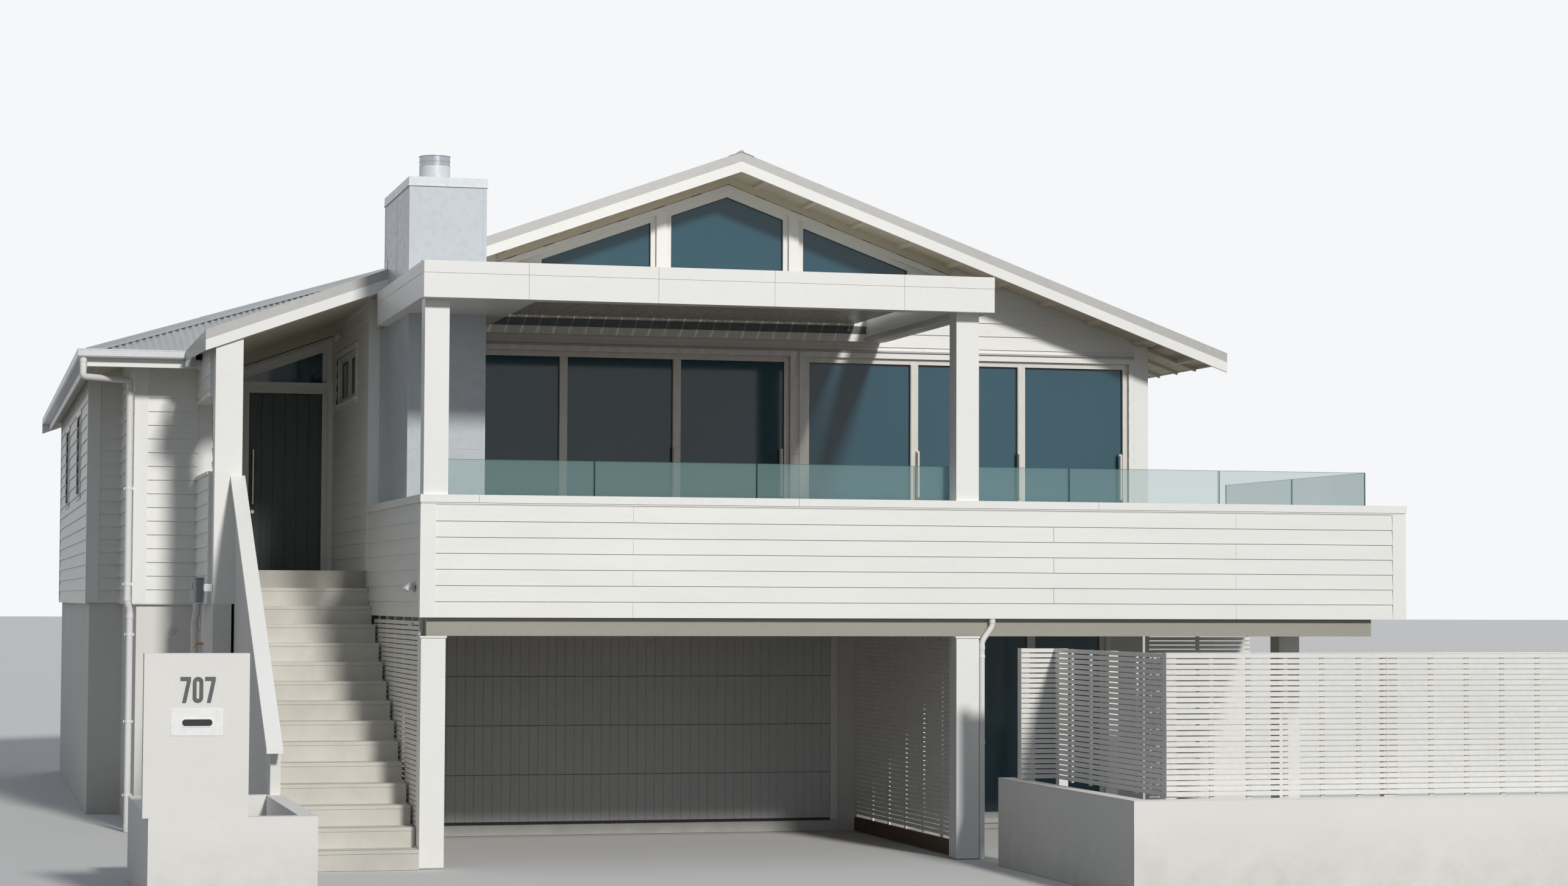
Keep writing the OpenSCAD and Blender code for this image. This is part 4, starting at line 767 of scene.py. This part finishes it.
def pipe_clip(place, z, d, back):
    """A strap around a pipe, with its two lugs on the wall behind"""
    x, y = place
    pipes.tube((x, y, z - 14), (x, y, z + 14), d + 7, 1, 24)
    pipes.box((x - d/2 - 16, y + back - 4, z - 14), (x + d/2 + 16, y + back, z + 14), 1)
    pipes.box((x - d/2 - 3, y, z - 14), (x + d/2 + 3, y + back, z + 14), 1)


for place, d, back, heights in (
        (UPPER, PIPE_D, 18, (4795, 3746, 2700)), (LOWER, PIPE_D, 34, (2150, 1200, 400)),
        (CARPORT, CARPORT_D, 36, (2000, 1150, 350))):
    for z in heights:
        pipe_clip(place, z, d, back)


def swept(shape, path, d, mark=0, r=70.0, n=24):
    """A round pipe along a path, with a smooth elbow at each corner"""
    path = [Vector(p) for p in path]
    stations = [(path[0], (path[1] - path[0]).normalized())]
    for before, corner_point, after in zip(path, path[1:], path[2:]):
        way_in, way_out = (corner_point - before).normalized(), (after - corner_point).normalized()
        for t in (k/6 for k in range(7)):
            p, q = corner_point - way_in*r, corner_point + way_out*r
            point = p*(1 - t)**2 + corner_point*2*t*(1 - t) + q*t**2
            stations.append((point, (way_in*(1 - t) + way_out*t).normalized()))
    stations.append((path[-1], (path[-1] - path[-2]).normalized()))
    u = stations[0][1].orthogonal().normalized()
    points = []
    for centre, way in stations:
        u = (u - way*u.dot(way)).normalized()
        v = way.cross(u)
        points += [centre + (u*math.cos(a) + v*math.sin(a))*d/2 for a in (2*math.pi*i/n for i in range(n))]
    last = (len(stations) - 1)*n
    faces = [tuple(range(n)), tuple(range(last, last + n))]
    for k in range(len(stations) - 1):
        faces += [(k*n + i, k*n + (i + 1) % n, (k + 1)*n + (i + 1) % n, (k + 1)*n + i) for i in range(n)]
    shape.solid(points, faces, mark)


OUTLET, DROP = (-3101.5, 4672), (5589.5, -96)
drains = Shape()
swept(drains, [(*OUTLET, 5131), (*OUTLET, 4925), (*UPPER, 4930), (*UPPER, 2500), (*LOWER, 2415), (*LOWER, 0)],
      PIPE_D, r=45)
swept(drains, [(*DROP, 2375), (*DROP, 2300), (*CARPORT, 2150), (*CARPORT, 0)], CARPORT_D, r=40)
for place, z, half, d in (
        (OUTLET, 5105, 24, 79), (UPPER, 4860, 24, 79), (UPPER, 2540, 24, 79), (LOWER, 2350, 24, 79),
        (LOWER, 60, 24, 79), (CARPORT, 2090, 20, 64), (DROP, 2350, 20, 64), (CARPORT, 50, 20, 64)):
    drains.tube((*place, z - half), (*place, z + half), d, 0, 24)
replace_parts(drains.done("drain_pipes", "pipe_paint", smooth=True), "downpipes")
swept(pipes, [(-1850, 4880, 2489), (-1850, 4880, 2395), (*WASTE, 2290), (*WASTE, 0)], 80, r=45)
for z in (2200, 1200, 300):
    pipes.tube((*WASTE, z - 14), (*WASTE, z + 14), 88, 1, 24)
    pipes.box((-1862, 4976, z - 14), (-1801.5, 5004, z + 14), 1)
pipes.done("pipe_fittings", "pipe_paint", "trim_paint", smooth=True)

# Balcony cap, pergola, chimney
folds = Shape()
OVER = 24
y_f, x_l, x_r = -HALF - OVER, DECK_LEFT - OVER, DECK_RIGHT + OVER
SEAMS = [x_l, 424, 3588, 6700, x_r]
for x0, x1 in zip(SEAMS, SEAMS[1:]):
    a, b = x0 + (1 if x0 > x_l else 0), x1 - (1 if x1 < x_r else 0)
    folds.boxes((a, y_f, CAP_Z, b, HALF + 12, CAP_Z + 3), (a, y_f, CAP_Z - 72, b, y_f + 3, CAP_Z),
                (max(a, -22), HALF + 9, CAP_Z - 60, min(b, DECK_IN), HALF + 12, CAP_Z))
for y0, y1 in ((HALF + 12, 2050), (2052, 3860)):
    folds.boxes((x_l, y0, CAP_Z, -13, y1, CAP_Z + 3), (DECK_IN - 9, y0, CAP_Z, x_r, y1, CAP_Z + 3))
for y0, y1, y2 in ((y_f, 2050, 2050), (2052, 3862, 3992)):
    folds.boxes((x_l, y0, CAP_Z - 72, x_l + 3, y1, CAP_Z), (x_r - 3, y0, CAP_Z - 72, x_r, y2, CAP_Z))
folds.boxes((RIGHT_X + 2, 3862, CAP_Z, x_r, 3992, CAP_Z + 3),
            (RIGHT_X + 2, 3989, CAP_Z - 72, x_r, 3992, CAP_Z),
            (x_l + 8, y_f + 8, CAP_Z - 86, x_r - 8, y_f + 16, CAP_Z - 72))
folds.done("parapet_flashing", "trim_paint", bevel=1)

perg = Shape()
PL, PR = -127.5, 5588
seams = [PL - 16, 867, 2137, 3298, 4621, PR - 30]
for a, b in zip(seams, seams[1:]):
    x0, x1 = a + 1.2, b - 1.2
    perg.boxes((x0, -HALF - 155, 5649, x1, -HALF, 5764), (x0, -HALF - 5, 5776, x1, -HALF + 60, 5779),
               (x0, -HALF - 150, 5413, x1, -HALF, 5649))
for x, sx, back in ((PL, -1, 3240), (PR, 1, 3875)):
    for y0, y1 in ((-HALF - 5, 1200), (1202.4, 2450), (2452.4, back)):
        for out, z0, z1 in ((5, 5664, 5779), (2.5, 5428, 5656)):
            x0, x1 = sorted((x, x + sx*out))
            perg.box((x0, y0, z0), (x1, y1, z1))
PIN_Z, BLADES = 5614, [1100 + i*176 for i in range(24)]
for x in BLADES:
    perg.tube((x, 3630, PIN_Z), (x, 3659.5, PIN_Z), 20, 1, 16)
    perg.tube((x, 103, PIN_Z), (x, 116, PIN_Z), 20, 1, 16)
# Motor box and rod, lever, strips under the right beam, and at the rear a dark strip that is painted shade in
# the channel between the blades and the beam
perg.boxes((1034, 3590, 5566, 1100, 3659.5, 5618, 1), (5138, 3586, 5538, 5160, 3614, 5556),
           (5482, 104, 5422, 5586, 3655, 5428), (5398, 104, 5422, 5466, 3655, 5428),
           (5340, 104, 5470, 5368, 3655, 5476), (1000, 3655, 5512, 5368, 3659.5, 5598, 2))
perg.tube((1000, 3625, 5600), (1034, 3625, 5600), 22, 1, 16)
perg.slant((5180, 3600, 5640), (5150, 3600, 5545), [(-9, -9), (9, -9), (9, 9), (-9, 9)], (0, 1))
perg.done("pergola_flashing", "trim_paint", "steel", "steel_paint", bevel=1)

blades = Shape()
for x in BLADES:
    blades.along_y([(x + w, 5620 + h) for w, h in (
        (-87, 0), (86, 0), (87, 2), (87, 38), (75, 38), (75, 14), (-70, 14), (-70, 6), (-87, 4))], 104, 3652)
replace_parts(blades.done("louvre_blades", "louvre_paint", bevel=1), "louvres")

stack = Shape()
for x, sx, y, sy in ((FX0, -1, FY0, -1), (FX1, 1, FY0, -1), (FX0, -1, FY1, 1), (FX1, 1, FY1, 1)):
    corner(x, sx, y, sy, DECK_Z + 2 if sy < 0 else 5800, FZ, 34, 34, 2.5, stack)
for z in (4060, 5390):
    stack.boxes((FX0 - 1.5, FY0 - 1.5, z, FX1 + 1.5, FY0, z + 22), (FX0 - 1.5, FY0, z, FX0, 3870, z + 22),
                (FX1, FY0, z, FX1 + 1.5, 3870, z + 22))
for x in (FX0 - 1.5, FX1):
    stack.box((x, 2600, DECK_Z + 5), (x + 1.5, 2622, FZ))
# Flashing where the chimney meets the roof
for x, level in ((FX0 - 4, z_gable(FX0)), (FX1, z_gable(FX1))):
    stack.box((x, 3300, level - 20), (x + 4, FY1, level + 150))
stack.along_y([(FX0 - 4, z_gable(FX0) - 10), (FX1 + 4, z_gable(FX1) - 10),
               (FX1 + 4, z_gable(FX1) + 170), (FX0 - 4, z_gable(FX0) + 170)], FY1, FY1 + 4)
stack.done("chimney_trims", "sheet_metal", bevel=0.6)

FLUE = (376, 2601.5)
flue = Shape()
for z, d, w in ((6826, 346, 16), (6850, 336, 6), (7094, 338, 6), (7150, 340, 8)):
    flue.tube((*FLUE, z - w/2), (*FLUE, z + w/2), d, 0, 64, 300)
flue.tube((*FLUE, 7048), (*FLUE, 7146), 330, 0, 64, 304)
for x0, y0, x1, y1 in (
        (FX0 - 14, FY0 - 14, FX1 + 14, FY0 - 8), (FX0 - 14, FY1 + 8, FX1 + 14, FY1 + 14),
        (FX0 - 14, FY0 - 8, FX0 - 8, FY1 + 8), (FX1 + 8, FY0 - 8, FX1 + 14, FY1 + 8)):
    flue.box((x0, y0, FZ), (x1, y1, FZ + 14), 1)
flue.done("flue_bands", "flue_metal", "cap_metal", bevel=1.5, smooth=True)

# Doors
GARAGE_LEFT, GARAGE_RIGHT, GARAGE_HEAD = 53, 5039, 2250
garage = Shape()
for i in range(4):
    z0 = 120 + i*532.5
    for k in range(50):
        x0 = GARAGE_LEFT + k*99.72
        garage.box((x0 + 2, 3919, z0 + 3), (x0 + 97.7, 3925, z0 + 525.5))
garage.box((GARAGE_LEFT, 3912, 122), (GARAGE_RIGHT, 3925, 146), 1)
garage.done("garage_ribs", "garage_paint", "dark", bevel=1.5)

surround = Shape()
lower_front = facing_y(3910, -1)
ring(surround, lower_front, rect(-25, 120, 5117, 2330), rect(GARAGE_LEFT, 120, GARAGE_RIGHT, GARAGE_HEAD), 18)
ring(surround, lower_front, grow(6520, 120, 8290, 2250, 60), rect(6520, 120, 8290, 2250), 20)
for y in (7000, 12600):
    ring(surround, facing_x(8745, 1), grow(y, 1300, y + 1500, 2000, 50), rect(y, 1300, y + 1500, 2000), 18)
surround.done("lower_trims", "trim_paint", bevel=2)

leaf = Shape()
for k in range(6):
    x0 = -1083.5 + k*136.4
    leaf.box((x0, 7276.5, 2866), (x0 + 131, 7282, 4936))
leaf.done("entry_door_boards", "door_paint", body="door", bevel=2)
lock = Shape()
for y0, y1, d, n in ((7270, 7276.5, 46, 32), (7264, 7270, 24, 24)):
    lock.tube((-1047.5, y0, 3560), (-1047.5, y1, 3560), d, 0, n)
lock.done("entry_door_lock", "steel", body="door", bevel=1)

handles = Shape()
for x in (8460, 7240, 6040, 4452, 3232):
    for half, y0, y1, z0, z1 in (
            (16, 3862, 3895, 3700, 4230), (9, 3846, 3862, 3720, 3745),
            (9, 3846, 3862, 4185, 4210), (11, 3834, 3846, 3712, 4218)):
        handles.box((x - half, y0, z0), (x + half, y1, z1))
for x0, z0, x1, z1 in SLIDERS:
    handles.box((x0 + 4, 3884, 2850), (x1 - 4, 3893, 2872))
    for k in (1, 2):
        x = x0 - 30 + k*1270
        handles.box((x + 4, 3886, 2912), (x + 20, 3896, 5198))
handles.done("slider_fittings", "slider_paint", bevel=2)

head = Shape()
head.along_x([(FRONT_Y, 5352), (3838, 5338), (3838, 5326), (FRONT_Y, 5330)], 650, 8620)
head.done("head_flashing", "flashing_metal")

# Stair, garden walls, screens
stair = Shape()
for i in range(14):
    y, z = -198 + i*305, 190*(i + 1)
    stair.boxes((-1485, y - 6, z - 34, -130, y + 1, z + 0.8), (-1485, y + 12, z, -130, y + 52, z + 1.6, 1))
stair.done("stair_nosings", "step_concrete", "concrete", bevel=2)

posts = Shape()
for x in (0, 5328):
    posts.boxes((x - 128, -128, 2180, x + 128, 128, 2200), (x - 124, -124, 0, x + 124, 124, 14, 1))
posts.box((9465, 1726, 0), (9713, 1974, 14), 1)
posts.done("post_trims", "trim_paint", "flashing_metal", bevel=2)

screens = Shape()
screens.boxes((5309, 120, 0, 5346, 3878, 152, 1), (5300, 118, 0, 5350, 146, 2200),
              (-103, 120, 170, -58, 160, 2375))
FENCE_X, FENCE_HEAD = 5791, 2099
for k in range(18):
    x = FENCE_X + 60 + k*349
    screens.box((x, -4225, 842), (x + 42, -4203, FENCE_HEAD))
for k in (1, 2, 3):
    x = FENCE_X + 2094*k
    screens.box((x - 8, -4246, 862), (x, -4243, FENCE_HEAD))
for y in (-3900, -3480, -2300, -1800):
    screens.box((5809, y, 842), (5831, y + 42, FENCE_HEAD))
screens.box((5788, -4246, FENCE_HEAD), (12073, -4150, FENCE_HEAD + 8))
screens.done("screen_fittings", "slat_paint", "base_timber", bevel=1)

garden = Shape()
garden.boxes((5396, -4489, 840, 12073, -4329, 846), (5396, -4329, 840, 5556, -861, 846))
garden.done("garden_wall_cap", "garden_plaster", bevel=4)

letter = Shape()


def rounded(u0, z0, u1, z1, r, n=6):
    """A loop with round corners"""
    points = []
    for cu, cz, start in ((u1 - r, z1 - r, 0), (u0 + r, z1 - r, 90),
                          (u0 + r, z0 + r, 180), (u1 - r, z0 + r, 270)):
        for t in (math.radians(start + 90*k/n) for k in range(n + 1)):
            points.append((cu + r*math.cos(t), cz + r*math.sin(t)))
    return points


plate_face = facing_y(-3637, -1)
slot = rounded(-2583.5, 1502, -2338.5, 1557, 26)
ring(letter, plate_face, rounded(-2672.5, 1423, -2254.5, 1645, 8), slot, 4)
ring(letter, plate_face, rounded(-2594, 1491, -2328, 1568, 34), slot, 8)
# a dark sheet at the bottom of the slot: painted shade in the slot's hollow
letter.prism([plate_face(u, z, 0) for u, z in slot], [plate_face(u, z, 1.2) for u, z in slot], 1)
for u, z in ((-2655, 1440), (-2272, 1440), (-2655, 1628), (-2272, 1628)):
    letter.tube(plate_face(u, z, 4), plate_face(u, z, 6.5), 11, 0, 16)
letter.done("letter_plate", "plate_metal", "dark")

# A generic house number of plain raised figures
figures = Shape()
FIGURE_Z, FIGURE_W, FIGURE_H, STROKE = 1695, 84, 210, 30


def figure_zero(u):
    outer = rounded(u, FIGURE_Z, u + FIGURE_W, FIGURE_Z + FIGURE_H, FIGURE_W/2 - 1, 8)
    inner = rounded(u + STROKE, FIGURE_Z + STROKE, u + FIGURE_W - STROKE, FIGURE_Z + FIGURE_H - STROKE,
                    FIGURE_W/2 - STROKE - 1, 8)
    ring(figures, plate_face, outer, inner, 10)


def figure_seven(u):
    right, top, under = u + FIGURE_W, FIGURE_Z + FIGURE_H, FIGURE_Z + FIGURE_H - STROKE
    foot = u + FIGURE_W*0.18
    leg = [(foot, FIGURE_Z), (foot + STROKE*1.05, FIGURE_Z), (right, under), (right - STROKE*1.05, under)]
    for loop in (rect(u, under, right, top), leg):
        figures.prism([plate_face(a, b, 0) for a, b in loop], [plate_face(a, b, 10) for a, b in loop])


figure_seven(-2600)
figure_zero(-2500)
figure_seven(-2400)
figures.done("number_figures", "steel_paint")

# Small fittings: meter box, bell, vent, lamps, sensor, tap and its pipes
fit = Shape()
TAP_Y = 4560
fit.boxes((-1946, 4060, 2499, -1831.5, 4400, 2758), (-1951, 4070, 2512, -1946, 4390, 2748),
          (-1953, 4100, 2640, -1951, 4220, 2720, 1), (-1956, 4050, 2758, -1831.5, 4410, 2768),
          (-1888, 3335, 2620, -1801.5, 3450, 2697, 2), (-150, 230, 2618, -132, 330, 2716, 2),
          (-130, 520, 2290, -100, 660, 2322, 2), (-1873, TAP_Y - 30, 2092, -1863, TAP_Y + 30, 2100, 4),
          (-150, 6240, 5520, -135, 6320, 5600, 2),
          *((-2117, 5281, z, -2049, 5287, z + 5, 2) for z in range(2176, 2236, 12)))
for p, q, d, mark, n in (
        ((-2083, 5286, 2202), (-2083, 5302, 2202), 92, 2, 32),
        ((-1815, 4330, 2760), (-1815, 4330, 2930), 22, 0, 16),
        ((-1838, 4330, 2930), (-1810, 4330, 2930), 30, 0, 16),
        ((-1820, TAP_Y, 0), (-1820, TAP_Y, 2060), 18, 2, 16),
        ((-1801.5, TAP_Y, 2060), (-1880, TAP_Y, 2060), 24, 4, 16),
        ((-1880, TAP_Y, 2060), (-1905, TAP_Y, 2020), 18, 4, 16),
        ((-1868, TAP_Y, 2062), (-1868, TAP_Y, 2095), 12, 4, 16)):
    fit.tube(p, q, d, mark, n)
# Two pairs of lamps: middle, then (x, z) of each arm's start and end, and of the back, rim and lens
for mid, arm, arm_end, back, rim, lens in (
        (280, (-150, 2690), (-176, 2680), (-168, 2690), (-208, 2636), (-211, 2632)),
        (6280, (-150, 5568), (-180, 5560), (-176, 5568), (-214, 5520), (-217, 5516))):
    for y in (mid - 55, mid + 55):
        for ya, a, b, d, mark, n in ((mid, arm, arm_end, 20, 2, 16), (y, back, rim, 62, 2, 32),
                                     (y, rim, lens, 54, 3, 32)):
            fit.tube((a[0], ya, a[1]), (b[0], y, b[1]), d, mark, n)
fit.done("wall_fittings", "grey_plastic", "dark", "white_plastic", "lamp_glass", "brass", bevel=2)

# Edges of the glass screen, and the seals round the panes of the windows
rim = Shape()
PANE_TOP = 3896
SHOE_Z = DECK_Z + 130
step = (9763.5 + 22.5)/6
for i in range(6):
    x0, x1 = -22.5 + i*step, -22.5 + (i + 1)*step - 12
    rim.boxes((x0, 167, PANE_TOP - 2.5, x1, 180, PANE_TOP),
              (x0 - 0.5, 167, DECK_Z, x0 + 2.5, 180, PANE_TOP - 1),
              (x1 - 2.5, 167, DECK_Z, x1 + 0.5, 180, PANE_TOP - 1),
              (x0 + 60, 160, DECK_Z, x0 + 170, 187, SHOE_Z, 1),
              (x1 - 170, 160, DECK_Z, x1 - 60, 187, SHOE_Z, 1))
length = (FRONT_Y - 167.5)/2 - 12
for y1 in (FRONT_Y - length, FRONT_Y - 2*length - 12):
    rim.box((9751, y1, PANE_TOP - 2.5), (9764, y1 + length, PANE_TOP))
    for y in (y1 + 2, y1 + length - 2):
        rim.box((9751, y - 2.5, DECK_Z), (9764, y + 0.5, PANE_TOP - 1))
    for y in (y1 + 100, y1 + length - 200):
        rim.box((9744, y, DECK_Z), (9771, y + 110, SHOE_Z), 1)
rim.done("screen_edges", "glass_edge", "steel")

seals = Shape()
for boxes, to3d, n in OPENINGS:
    for u0, z0, u1, z1 in boxes:
        clear = (u1 - u0 - 120 - (n - 1)*90)/n
        for a in (u0 + 60 + i*(clear + 90) for i in range(n)):
            ring(seals, to3d, rect(a, z0 + 60, a + clear, z1 - 60),
                 rect(a + 7, z0 + 67, a + clear - 7, z1 - 67), -48, -53)
for loop in gable_windows(0):
    centre_u = sum(u for u, z in loop)/len(loop)
    centre_z = sum(z for u, z in loop)/len(loop)
    small = [(u + (centre_u - u)*0.012, z + (centre_z - z)*0.02) for u, z in loop]
    ring(seals, front, loop, small, -50, -58)
seals.done("window_seals", "dark")

# Stage, light and camera
def two_tones(tree, plain, shown, socket):
    """The shown tone for camera, reflected and transmitted rays, the plain one for all others"""
    rays = node(tree, "LightPath").outputs
    clear = combine(tree, "MAXIMUM", rays["Is Camera Ray"], rays["Is Glossy Ray"])
    tint = mix(tree, combine(tree, "MAXIMUM", clear, rays["Is Transmission Ray"]))
    tint.inputs["A"].default_value = (*plain, 1)
    tint.inputs["B"].default_value = (*shown, 1)
    tree.links.new(tint.outputs["Result"], socket)


ground_tone = bpy.data.materials.new("ground_tone")
ground_tone.use_nodes = True
ground = ground_tone.node_tree.nodes["Principled BSDF"].inputs
ground["Roughness"].default_value = 0.95
ground["Specular IOR Level"].default_value = 0.1
two_tones(ground_tone.node_tree, (0.25, 0.245, 0.23), (0.66, 0.66, 0.65), ground["Base Color"])
floor_mesh = bpy.data.meshes.new("ground")
HALF_GROUND = 400
square = rect(-HALF_GROUND, -HALF_GROUND, HALF_GROUND, HALF_GROUND)
floor_mesh.from_pydata([(x, y, -0.003) for x, y in square], [], [(0, 1, 2, 3)])
floor_mesh.materials.append(ground_tone)
placed("ground", floor_mesh)

world = bpy.data.worlds.new("world")
scene.world = world
world.use_nodes = True
sky = world.node_tree.nodes["Background"].inputs
sky["Strength"].default_value = 1.0
two_tones(world.node_tree, (0.24, 0.265, 0.305), (0.92, 0.93, 0.95), sky["Color"])

for name, energy, spread, tint, source in (
        ("sun", 2.6, 6, (1.0, 0.975, 0.94), (0.185, -1.0, 0.55)),
        ("rear_fill", 0.8, 30, (0.95, 0.97, 1.0), (0.5, 1.0, 0.15))):
    lamp = bpy.data.lights.new(name, "SUN")
    lamp.energy, lamp.angle, lamp.color = energy, math.radians(spread), tint
    placed(name, lamp).rotation_euler = Vector(source).to_track_quat("Z", "Y").to_euler()

camera_data = bpy.data.cameras.new("camera")
camera_data.sensor_width = 36
camera_data.lens = 72.29
camera_data.clip_end = 2000
camera = placed("camera", camera_data)
yaw, pitch, roll = (math.radians(a) for a in (14.756, 2.853, 0.218))
ahead = Vector((math.sin(yaw), math.cos(yaw), 0))
right = Vector((math.cos(yaw), -math.sin(yaw), 0))
look = ahead*math.cos(pitch) + Vector((0, 0, 1))*math.sin(pitch)
above = Vector((0, 0, 1))*math.cos(pitch) - ahead*math.sin(pitch)
across = right*math.cos(roll) + above*math.sin(roll)
upward = above*math.cos(roll) - right*math.sin(roll)
turn = Matrix((across, upward, -look)).transposed()
camera.matrix_world = Matrix.Translation((-4.4147, -29.9175, 2.553)) @ turn.to_4x4()
scene.camera = camera
scene.view_settings.view_transform = "Standard"
